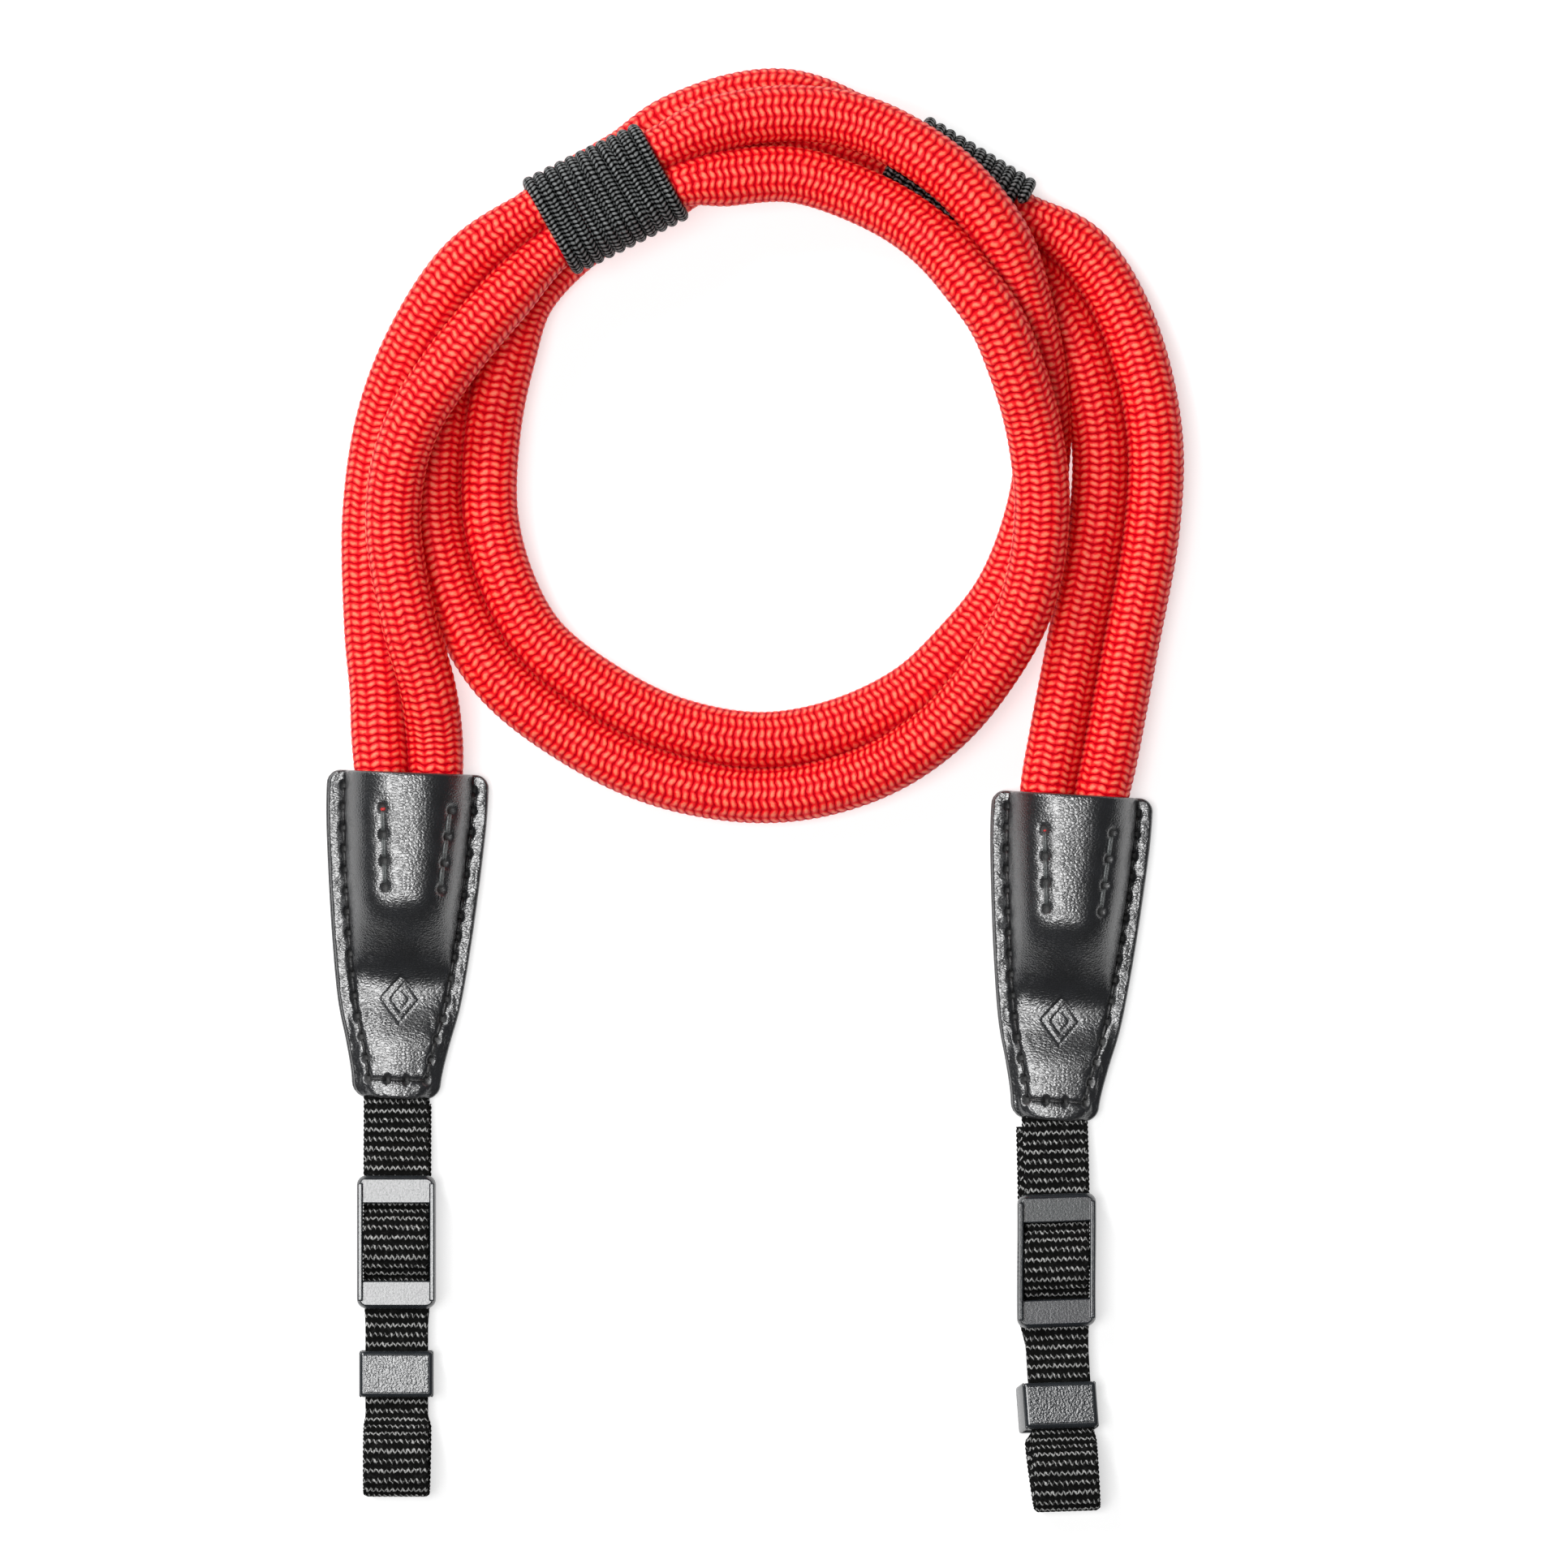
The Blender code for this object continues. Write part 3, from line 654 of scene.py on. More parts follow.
def braid_relief(angle, rows, columns):
    """Height of the braid's surface from 0 to 1, by the same rule as its material."""
    around = angle * columns / (2 * math.pi)
    column = np.floor(around)
    across = around - column - 0.5
    lean = STITCH_SLOPE * (1.0 - 2.0 * (column % 2))
    along = (rows + across * lean) % 1.0 - 0.5
    left = 1.0 - (along / STITCH_HALF[0]) ** 2 - (across / STITCH_HALF[1]) ** 2
    return np.sqrt(np.clip(left, 0.0, 1.0))


def rings(frames, angle):
    """Unit vectors round each point of a path."""
    one, two = (vectors[:, None] for vectors in frames)
    return np.cos(angle)[None, :, None] * one + np.sin(angle)[None, :, None] * two


def braided(points, radii, row, columns, sectors, relief, first_row=0.0, frames=None):
    """Loft and braid coordinates of a braided cord along evenly spaced points."""
    count, size = len(points), columns * sectors
    angle = (np.arange(size) + 0.5) / size * 2 * math.pi
    rows = first_row + lengths_along(points) / row
    height = braid_relief(angle[None, :], rows[:, None], columns)
    reach = radii[:, None] + relief * (height - 0.45)
    sections = points[:, None] + rings(frames or rolling_frames(points), angle) * reach[..., None]
    coordinates = np.empty((count, size, 3))
    coordinates[..., 0] = np.cos(angle)
    coordinates[..., 1] = np.sin(angle)
    coordinates[..., 2] = rows[:, None]
    return loft(sections), with_caps(coordinates, count, size)


def pair_frames(rows):
    """The pair's middle line, and the directions across and over the pair, from rows of the route."""
    middle = rows[:, :3]
    left = np.column_stack([left_of(middle[:, :2]), np.zeros(len(rows))])
    roll = np.radians(rows[:, 3])[:, None]
    up = np.array([[0.0, 0.0, 1.0]])
    return middle, np.cos(roll) * left + np.sin(roll) * up, np.cos(roll) * up - np.sin(roll) * left


def rope_line(which):
    """Evenly spaced centre line and radii of one rope; which is +1 for rope a and -1 for rope b."""
    rows = smooth_curve(ROUTE, 3000)
    middle, across, _ = pair_frames(rows)
    radius = np.minimum(ROPE_RADIUS + 0.1, (rows[:, 4] - ROPE_GAP) / 2 + 0.14)
    line = np.column_stack([middle + which * across * rows[:, 4:5] / 2, radius])
    walked = lengths_along(line[:, :3])
    count = int(walked[-1] / BRAID_ROW * RINGS_A_ROW)
    line = resample(line, walked, np.arange(count) * BRAID_ROW / RINGS_A_ROW)
    return line[:, :3], line[:, 3]


def distance_out(points, side):
    """How far each point is outside a tab's mouth, along the tab."""
    lean = math.radians(SIDES[side]["tab_lean"])
    x, y = SIDES[side]["mouth"]
    return (points[:, 0] - x) * math.sin(lean) + (points[:, 1] - y) * math.cos(lean)


def pressed(part, axes, beside_radii):
    """The rope's points swollen where it touches the other rope, and its painted shade in the nook."""
    points, faces = part
    clear = np.empty(len(points))
    toward = np.empty((len(points), 3))
    for k, point in enumerate(points):
        axis, found, away = axes.find(point)
        clear[k] = away - beside_radii[found]
        toward[k] = (np.array(axis) - point) / away
    # Painted shade, strongest where the ropes touch
    painted_nook_shade = bell(np.maximum(clear, 0.0), NOOK_SHADE_REACH)
    swell = np.clip(clear * SWELL_SLOPE + SWELL_AT_TOUCH, 0.0, SWELL_MOST)
    swell *= 1.0 - smoothstep(clear, *SWELL_FADES)
    return (points + toward * swell[:, None], faces), painted_nook_shade


def build_rope(name, which, stuff):
    """The rope's free length, which is one piece, and its two necks at the tabs' mouths."""
    points, radii = rope_line(which)
    frames = rolling_frames(points)
    step = BRAID_ROW / RINGS_A_ROW
    out_left, out_right = distance_out(points, "left"), distance_out(points, "right")
    radii = radii - NECK_SLIMMER * (1.0 - smoothstep(np.minimum(out_left, out_right), *NECK_SLIMS))
    last, near = len(points) - 1, len(points) // 8
    out_left, out_right = out_left[:near], out_right[::-1][:near]
    left_in, left_out = np.searchsorted(out_left, (-NECK_INSIDE, NECK_END))
    right_in, right_out = last - np.searchsorted(out_right, (-NECK_INSIDE, NECK_END))
    spans = {
        name: (left_out, right_out),
        f"{name}_neck_left": (left_in, left_out),
        f"{name}_neck_right": (right_out, right_in),
    }
    beside, beside_radii = rope_line(-which)
    axes = KDTree(len(beside))
    for k, point in enumerate(beside):
        axes.insert(point, k)
    axes.balance()
    made = {}
    for piece, (start, end) in spans.items():
        used = slice(start, end + 1)
        part, coordinates = braided(
            points[used], radii[used], BRAID_ROW, BRAID_COLUMNS, SECTORS_A_COLUMN, BRAID_RELIEF,
            start * step / BRAID_ROW, (frames[0][used], frames[1][used]),
        )
        part, painted_nook_shade = pressed(part, axes, beside_radii)
        made[piece] = build(f"{piece}_sheath", [part], stuff, {"braid": coordinates, "painted_nook_shade": painted_nook_shade})
    settle(made[name], "ropes", name)
    for side in SIDES:
        neck = made[f"{name}_neck_{side}"]
        bend = [frame_point(tab_frame(side), 0.0, -out, NECK_BEND_HEIGHT) for out in NECK_BEND]
        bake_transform(neck)


def oval_turn(turn, flat, reach):
    """Place at a distance round an oval with two flat sides; the second half mirrors the first."""
    half_way = flat + math.pi * reach
    mirror = np.where(turn >= half_way, -1.0, 1.0)
    walked = np.where(turn >= half_way, turn - half_way, turn)
    bend = np.maximum(walked - flat, 0.0) / reach
    wide = flat / 2 - np.minimum(walked, flat) - reach * np.sin(bend)
    return mirror * wide, -mirror * reach * np.cos(bend)


def build_whipping(side, stuff):
    """Thin braided cord wound round both ropes."""
    first, last = WHIPPING_ROWS[side]
    fine = smooth_curve(ROUTE[first - 2:last + 3], 2000)
    walked = lengths_along(fine[:, :3])
    ends = [np.linalg.norm(fine[:, :3] - ROUTE[k][:3], axis=1).argmin() for k in (first, last)]
    centre = walked[ends].mean()
    middle, across, over = pair_frames(fine)
    # The pair is straight where it is whipped
    near = np.abs(walked - centre) < CORD_PITCH * WHIPPING_TURNS / 2 + 1.0
    slope = (middle[near][-1] - middle[near][0]) / (walked[near][-1] - walked[near][0])
    middle = middle[near].mean(axis=0) + (walked - centre)[:, None] * slope
    across = np.tile(across[near].mean(axis=0), (len(walked), 1))
    over = np.tile(over[near].mean(axis=0), (len(walked), 1))
    reach = WHIPPED_RADIUS + CORD_RADIUS + CORD_GAP
    girth = 2 * (WHIPPED_SPACING + math.pi * reach)
    step = CORD_ROW / 3
    at = np.arange(int(WHIPPING_TURNS * girth / step)) * step
    wide, high = oval_turn(np.mod(at, girth), WHIPPED_SPACING, reach)
    along = centre + (at / girth - WHIPPING_TURNS / 2) * CORD_PITCH
    along = along + CORD_STRAYS[0] * random_line(at, 0.04, 0.0, SEEDS[side]["cord"])
    high = high + CORD_STRAYS[1] * random_line(at, 0.11, 5.0, 1.0)
    spine = resample(np.column_stack([middle, across, over]), walked, along)
    points = spine[:, :3] - wide[:, None] * spine[:, 3:6] + high[:, None] * spine[:, 6:9]
    points += (*WHIPPING_SHIFT[side], 0.0)
    evenly = lengths_along(points)
    points = resample(points, evenly, np.arange(int(evenly[-1] / step)) * step)
    from_end = np.minimum(np.arange(len(points)), np.arange(len(points))[::-1]) * step
    radii = CORD_RADIUS * np.sqrt(np.clip(from_end / CORD_RADIUS, 0.05, 1.0))
    part, coordinates = braided(points, radii, CORD_ROW, CORD_COLUMNS, 3, CORD_RELIEF)
    made = build(f"whipping_{side}_cord", [part], stuff, {"braid": coordinates})
    settle(made, "ropes", f"whipping_{side}")


# ---------------- leather tabs


WIDTH_TABLE = smooth_curve(TAB_HALF_WIDTHS, 120, used=1)


def tab_half_width(s):
    """Half the tab's width at distance s from its mouth, with its corners rounded."""
    plain = np.interp(s, WIDTH_TABLE[:, 0], WIDTH_TABLE[:, 1])
    top = np.clip(TAB_TOP_CORNER - s, 0.0, TAB_TOP_CORNER)
    bottom = np.clip(TAB_BOTTOM_CORNER - (TAB_LENGTH - s), 0.0, TAB_BOTTOM_CORNER)
    top_cut = TAB_TOP_CORNER - np.sqrt(TAB_TOP_CORNER**2 - top**2)
    bottom_cut = TAB_BOTTOM_CORNER - np.sqrt(TAB_BOTTOM_CORNER**2 - bottom**2)
    return plain - top_cut - bottom_cut


def closer_at_ends(start, end, step, rim=EDGE_ROUNDING):
    """Evenly spaced values with a few extra close to both ends, where an edge is rounded."""
    near = rim * np.array([0.0, 0.04, 0.14, 0.34, 0.64, 1.0])
    count = max(int((end - start - 2 * rim) / step), 2)
    even = np.linspace(start + rim, end - rim, count + 1)
    return np.concatenate([start + near, even[1:-1], end - near[::-1]])


def spread_to(values, count):
    """This many values, read evenly from a shorter or longer row."""
    return np.interp(np.linspace(0, 1, count), np.linspace(0, 1, len(values)), values)


def edge_roundness(inside, rim=EDGE_ROUNDING):
    """Share of the full thickness at a distance inside a cut edge."""
    t = np.clip(inside / rim, 0.0, 1.0)
    return np.sqrt(np.clip(1.0 - (1.0 - t) ** 2, 0.0, 1.0))


def pocket_middle(s):
    """Middle of the front leather's thickness across the tab at distance s: x and height, left to right."""
    half = float(tab_half_width(s))
    plain = float(np.interp(s, *zip(*TAB_HALF_WIDTHS)))
    falling = 1.0 - float(smoothstep(s, *POCKET_FALLS))
    pocket = min(plain - POCKET_MARGIN, half - 0.9)
    lift = float(smoothstep(s, *LIFT_OVER_STRAP))
    x = np.linspace(-half, half, 1200)
    inside = np.clip(1.0 - (np.abs(x) / pocket) ** POCKET_EXPONENT, 0.0, 1.0)
    dome = (POCKET_HEIGHT * falling) * np.sqrt(inside)
    belly = 0.55 * (1.0 - falling) * np.clip(1.0 - (x / (half - 1.6)) ** 2, 0.0, 1.0)
    over = lift * (STRAP + LAYER_GAP) * (1.0 - smoothstep(np.abs(x), half - 2.6, half - 0.3))
    curve = np.column_stack([x, LEATHER * 1.5 + 0.1 + dome + belly + over])
    walked = lengths_along(curve)
    even = resample(curve, walked, np.linspace(0.0, walked[-1], 900))
    return smoothed(even, int(0.55 / (walked[-1] / 900)))


def seam_marks():
    """Places of the seam's needle holes in the tab's frame: down one side, across and up the other."""
    bottom = TAB_LENGTH - SEAM_BOTTOM
    down = np.linspace(2.4, bottom, 60)
    edge = np.stack([tab_half_width(down) - SEAM_INSET, down], axis=1)
    walked = lengths_along(edge)
    count = int(round(walked[-1] / SEAM_PITCH))
    right = resample(edge, walked, np.linspace(0.0, walked[-1], count + 1))
    across = right[-1, 0] * np.array([[1 / 3], [-1 / 3]]) * (1, 0) + (0, bottom)
    return np.concatenate([right, across, right[::-1] * (-1, 1)])


def rope_stitch_marks(side):
    """Four needle holes for each of the two rows that hold the ropes."""
    low, high = ROPE_STITCH_SPAN
    rows = ROPE_STITCH_ROWS[side].items()
    return {row: np.linspace((start, low), (end, high), 4) for row, (start, end) in rows}


def away_from(a, b, x, s):
    """How far each point lies from the straight run between a and b."""
    run = b - a
    t = np.clip(((x - a[0]) * run[0] + (s - a[1]) * run[1]) / (run @ run), 0.0, 1.0)
    return np.hypot(x - a[0] - t * run[0], s - a[1] - t * run[1])


def leather_dents(side, seam, x, s):
    """Relief of the front leather in millimetres, and the painted shade of its needle holes."""
    dark = np.zeros_like(x)
    near = np.min([away_from(a, b, x, s) for a, b in zip(seam[:-1], seam[1:])], axis=0)
    dent = -0.30 * bell(near, 0.42)
    for a in seam:
        hole = np.exp(-(np.hypot(x - a[0], (s - a[1]) * 0.72) / 0.5) ** 4)
        dent -= 0.55 * hole
        dark = np.maximum(dark, hole)
    for marks in rope_stitch_marks(side).values():
        for a in marks:
            off = np.hypot((x - a[0]) * 1.15, (s - a[1]) * 0.85)
            hole = np.exp(-((off / 0.62) ** 4))
            dent -= 0.5 * hole + 0.2 * bell(off, 1.5)
            dark = np.maximum(dark, hole)
        for a, b in zip(marks[:-1], marks[1:]):
            dent -= 0.14 * bell(away_from(a, b, x, s), 0.6)
    lozenge = np.abs(x) / 0.8 + np.abs(s - MARK_AT)
    for size in (MARK_SIZE, MARK_SIZE / 2):
        dent -= MARK_DEPTH * bell(lozenge - size, 0.26)
    return dent, dark


def build_leather(face, side, sections, edges, painted_hole_shades, stuff):
    """One leather of a tab, with each point's nearness to a cut edge and painted shade in needle holes."""
    size = sections.shape[:2]
    attributes = {"edge": with_caps(edges, *size), "painted_hole_shade": with_caps(painted_hole_shades, *size)}
    made = build(f"tab_{face}_{side}_leather", [loft(sections)], stuff, attributes, tab_frame(side))
    settle(made, f"tab_{side}", f"tab_{face}_{side}")


def build_tab_front(side, stuff):
    """The domed front leather: rounded cut edges, seam groove, needle holes and creases."""
    stations = closer_at_ends(0.0, TAB_LENGTH, LEATHER_GRID)
    seed = SEEDS[side]["front"]
    seam = seam_marks()
    columns = len(closer_at_ends(0.0, lengths_along(pocket_middle(0.0))[-1], LEATHER_GRID))
    outer, inner, painted_hole_shades, edges = [], [], [], []
    for s in stations:
        curve = pocket_middle(s)
        walked = lengths_along(curve)
        shares = closer_at_ends(0.0, 1.0, 1.0 / (columns - 11), EDGE_ROUNDING / walked[-1])
        at = spread_to(shares, columns) * walked[-1]
        line = resample(curve, walked, at)
        normal = left_of(line)
        from_side = np.minimum(at, walked[-1] - at)
        from_end = min(s, TAB_LENGTH - s)
        inside = np.minimum(from_side, from_end)
        share = edge_roundness(from_side) * edge_roundness(from_end)
        x = line[:, 0]
        dent, dark = leather_dents(side, seam, x, np.full_like(x, s))
        flank = bell(np.abs(x) - float(tab_half_width(s)) + 2.0, 1.9)
        crinkle = random_line(at, 0.55, s * 0.55, seed)
        folds = random_line(at, 0.16, s * 0.16, seed + 5.0)
        pucker = random_line(at, 1.3, s * 0.8, seed + 9.0)
        relief = dent + flank * (0.16 * crinkle + 0.07 * pucker) + 0.10 * folds
        top = LEATHER / 2 * share + relief * edge_roundness(inside, 0.8)
        rise = np.stack([normal[:, 0], np.zeros(len(x)), normal[:, 1]], axis=1)
        base = np.stack([x, np.full(len(x), -s), line[:, 1]], axis=1)
        outer.append(base + rise * top[:, None])
        inner.append(base - rise * (LEATHER / 2 * share)[:, None])
        # Painted shade of the needle holes, on the outer face only
        painted_hole_shades.append(np.concatenate([dark, np.zeros_like(dark)]))
        near = np.clip(1.0 - inside / EDGE_GREY, 0.0, 1.0)
        edges.append(np.concatenate([near, near[::-1]]))
    outer = np.array(outer)
    sections = np.concatenate([outer, np.array(inner)[:, ::-1]], axis=1)
    build_leather("front", side, sections, np.array(edges), np.array(painted_hole_shades), stuff)
    return stations, outer


def build_tab_back(side, stuff):
    """The flat back leather, a little wider than the front, with faint waves on its underside."""
    columns = 48
    sections, edges = [], []
    for s in closer_at_ends(0.0, TAB_LENGTH, TAB_BACK_GRID):
        half = float(tab_half_width(s)) + TAB_BACK_WIDER
        x = spread_to(closer_at_ends(-half, half, TAB_BACK_GRID), columns)
        from_end = min(s, TAB_LENGTH - s)
        share = edge_roundness(half - np.abs(x)) * edge_roundness(from_end)
        wave = 0.05 * random_line(x, 0.3, s * 0.3, SEEDS[side]["back"])
        middle = LEATHER / 2 + 0.05
        upper = np.stack([x, np.full(columns, -s), middle + LEATHER / 2 * share], axis=1)
        lower = np.stack([x, np.full(columns, -s), middle - (LEATHER / 2 - 0.05 + wave) * share], axis=1)
        sections.append(np.concatenate([upper, lower[::-1]]))
        near = np.clip(1.0 - np.minimum(half - np.abs(x), from_end) / EDGE_GREY, 0.0, 1.0)
        edges.append(np.concatenate([near, near[::-1]]))
    sections = np.array(sections) + (TAB_BACK_SHIFT[side], 0.0, 0.0)
    build_leather("back", side, sections, np.array(edges), np.zeros_like(edges), stuff)


def thread_loft(points, radius, sides=8):
    """A short thread with tapered ends along a few points."""
    points = smooth_curve(points, 15, steps=12)
    angle = np.arange(sides) / sides * 2 * math.pi
    taper = np.sqrt(np.clip(np.sin(np.linspace(0.02, math.pi - 0.02, 15)) * 2.2, 0.0, 1.0)) * radius
    return loft(points[:, None] + rings(rolling_frames(points), angle) * taper[:, None, None])


def surface_height(stations, outer, x, s):
    """Height of the front leather's outer face."""
    row = int(np.clip(np.searchsorted(stations, s), 0, len(stations) - 1))
    return float(np.interp(x, outer[row, :, 0], outer[row, :, 2]))


def build_threads(side, stations, outer, black, grey, red):
    """Seam stitches in their groove, both rows through the ropes, and the rope seen in a needle hole."""
    place = tab_frame(side)

    def stitch(a, b, radius, proud):
        gap = 0.12
        points = []
        for t, dip in ((0.0, 0.55), (0.14, 0.1), (0.5, 0.0), (0.86, 0.1), (1.0, 0.55)):
            x, s = a + (b - a) * (gap + (1.0 - 2.0 * gap) * t)
            middle = a + (b - a) * (gap + (1.0 - 2.0 * gap) * np.clip(t, 0.3, 0.7))
            level = surface_height(stations, outer, x, s)
            level = max(level, surface_height(stations, outer, *middle) - 0.5)
            points.append((x, -s, level + proud - dip))
        return thread_loft(points, radius)

    def stitch_below(a, b):
        levels = ((0.1, 0.45), (0.25, 0.2), (0.75, 0.2), (0.9, 0.45))
        return thread_loft([(*(a + (b - a) * t) * (1, -1), height) for t, height in levels], 0.2)

    seam = seam_marks()
    parts = [stitch(a, b, 0.27, 0.10) for a, b in zip(seam[:-1], seam[1:])]
    parts += [stitch_below(a, b) for a, b in zip(seam[:-1], seam[1:])]
    made = build(f"seam_thread_{side}_stitches", parts, black, None, place)
    settle(made, f"tab_{side}", f"seam_thread_{side}")
    for row, marks in rope_stitch_marks(side).items():
        parts = []
        for a, b in zip(marks[:-1], marks[1:]):
            parts += [stitch(a + (shift, 0.0), b + (shift, 0.0), 0.2, 0.12) for shift in (-0.15, 0.15)]
        made = build(f"rope_stitch_{row}_{side}_threads", parts, grey, None, place)
        settle(made, f"tab_{side}", f"rope_stitch_{row}_{side}")
    x, s = rope_stitch_marks(side)["inner"][0]
    level = surface_height(stations, outer, x, s)
    size = ROPE_SEEN_IN_HOLE[side]
    bulge = [(x - size + 0.1, -s - 0.25, level - 0.05), (x + 0.1, -s - 0.2, level + 0.18),
             (x + size + 0.1, -s - 0.2, level - 0.05)]
    made = build(f"rope_in_hole_{side}", [thread_loft(bulge, size * 0.75)], red, None, place)
    settle(made, f"tab_{side}")


# ---------------- woven straps


def bowed(side, part):
    """A part in the strap's frame, turned a little about the strap and moved sideways where it bows."""
    points, faces = part
    points = points.copy()
    points[:, 2] += STRAP_ROLL[side] * points[:, 0] * points[:, 2] / KEEPER_TOP
    points[:, 0] += STRAP_BOW[side] * bell(-points[:, 1] - BOW_AT, BOW_REACH)
    return points, faces


def slider_middle(side):
    return SIDES[side]["slider_at"] + SLIDER_SIZE[1] / 2


def offset_line(line, amount):
    """The points of a line moved to its left."""
    line = np.array(line, float)
    return [tuple(p) for p in line + amount * left_of(line)]


def hump(side, distance, rise):
    """How far the slider's middle bar lifts the strap at a distance from the tab."""
    near = SLIDER_MIDDLE_BAR / 2 - 0.6
    far = SLIDER_SIZE[1] / 2 - SLIDER_END_BAR - 0.1
    off = abs(distance - slider_middle(side))
    return rise * (1.0 - float(smoothstep(off, near, far)))


def strap_route(side):
    """Front layer, eye and back layer of the strap, each as distance from the tab and height."""
    in_tab = LEATHER + LAYER_GAP + STRAP / 2
    tail_level = STRAP_RAISED + STRAP / 2
    main_level = tail_level + STRAP + LAYER_GAP
    over_bar = SLIDER_BAR_UNDERSIDE + LAYER_GAP + STRAP / 2 - tail_level + ARCH_CROWN
    eye_middle = EYE_RADIUS + STRAP / 2 + 0.1
    eye_centre = SIDES[side]["fold_at"] - STRAP / 2 - EYE_RADIUS
    eye_open = eye_centre - EYE_FLAT
    eye_start = eye_open - EYE_NECK

    def leaving(distance):
        return in_tab + (main_level - in_tab) * float(smoothstep(distance, 0.0, STRAP_RISES))

    def into_eye(share, level, eye_level):
        height = level + (eye_level - level) * float(smoothstep(share, 0.0, 1.0))
        return (eye_start + share * (eye_open - eye_start), height)

    neck = np.linspace(0.15, 1.0, 6)
    crossing = np.linspace(-ARCH_LINE_HALF, ARCH_LINE_HALF, 25) + slider_middle(side)
    tail_line = [(d, tail_level + hump(side, d, over_bar)) for d in crossing]
    front = [(d, leaving(d)) for d in (-STRAP_IN_TAB, 0.0, *np.linspace(2.0, STRAP_RISES, 4))]
    front += offset_line(tail_line, STRAP + LAYER_GAP)
    front.append((eye_start, main_level))
    front += [into_eye(t, main_level, eye_middle + EYE_RADIUS) for t in neck]
    turn = np.radians(np.linspace(84.0, -84.0, 13))
    arc = [(eye_centre + EYE_RADIUS * math.cos(a), eye_middle + EYE_RADIUS * math.sin(a)) for a in turn]
    back = [into_eye(t, tail_level, eye_middle - EYE_RADIUS) for t in neck[::-1]]
    back.append((eye_start, tail_level))
    back += tail_line[::-1]
    for d in np.linspace(TAIL_STARTS, TAIL_FROM_TAB, 9):
        back.append((d, min(tail_level, leaving(d) - STRAP - TAIL_GAP)))
    return np.array(front + arc + back)


def web_relief(across, along):
    """Height of the weave from 0 to 1; across and along are counted in bumps and in rows."""
    row = np.floor(along)
    rise = along - row - 0.5
    ridge = np.sqrt(np.clip(1.0 - (rise / 0.56) ** 2, 0.0, 1.0))
    side = across + 0.5 * (row % 2) + rise * STROKE_LEAN
    side = side % 1.0 - 0.5
    left = 1.0 - (rise / STROKE_HALF[0]) ** 2 - (side / 0.5) ** 2
    return 0.7 * ridge + 0.3 * np.sqrt(np.clip(left, 0.0, 1.0))


def ribbon(line, walked, drift, free):
    """Loft of one stretch of strap and its weave coordinates; free is 0 where a keeper holds its edges."""
    half = STRAP_WIDTH / 2
    inward = half - np.array([0.0, 0.03, 0.12, 0.28])
    x = np.concatenate([-inward, np.linspace(-half + 0.45, half - 0.45, 35), inward[::-1]])
    normal = left_of(line)
    share = edge_roundness(half - np.abs(x), 0.5)
    at_edge = np.sign(x) * np.clip(np.abs(x) - half + 1.0, 0.0, 1.0)
    squeeze = 1.0 - KEEPER_SQUEEZE * (1.0 - free[:, None])
    sections, coordinates = [], []
    for turned, bump_shift, row_shift in ((1.0, 0.0, 0.0), (-1.0, 0.37, 0.5)):
        bumps = x / WEB_BUMP + bump_shift
        rows = walked / WEB_ROW + row_shift
        relief = WEB_RELIEF * (web_relief(bumps[None, :], rows[:, None]) - 0.75)
        reach = turned * (STRAP / 2 + relief) * share[None, :]
        loops = EDGE_LOOPS * (free * np.cos(2 * math.pi * rows))[:, None] * at_edge[None, :]
        side_x = x[None, :] * squeeze + loops + drift[:, None]
        d = line[:, :1] + normal[:, :1] * reach
        z = line[:, 1:] + normal[:, 1:] * reach
        sections.append(np.stack([side_x, -d, z], axis=-1))
        field = np.empty((len(line), len(x), 3))
        field[..., 0], field[..., 1], field[..., 2] = bumps, rows[:, None], 0.0
        coordinates.append(field)
    loop = np.concatenate([sections[0], sections[1][:, ::-1]], axis=1)
    field = np.concatenate([coordinates[0], coordinates[1][:, ::-1]], axis=1)
    return loft(loop), with_caps(field, *loop.shape[:2])


def keeper_hold(side, line, tip):
    """How far the strap's edges are free of the keeper, and the sideways drift of its back layer."""
    start, full = SIDES[side]["keeper_at"], SIDES[side]["tail_drift"]
    held_from = start - KEEPER_TRAVEL[side][0]
    held_to = start + KEEPER_SIZE[1] + KEEPER_TRAVEL[side][1]
    held = smoothstep(line[:, 0], held_from - KEEPER_FADES[0], held_from)
    held *= 1.0 - smoothstep(line[:, 0], held_to, held_to + KEEPER_FADES[1])
    drift = full * smoothstep(np.arange(len(line)), tip - 10, tip + 50)
    least = DRIFT_IN_KEEPER / abs(full)
    return 1.0 - held, drift * (least + (1.0 - least) * (1.0 - held))


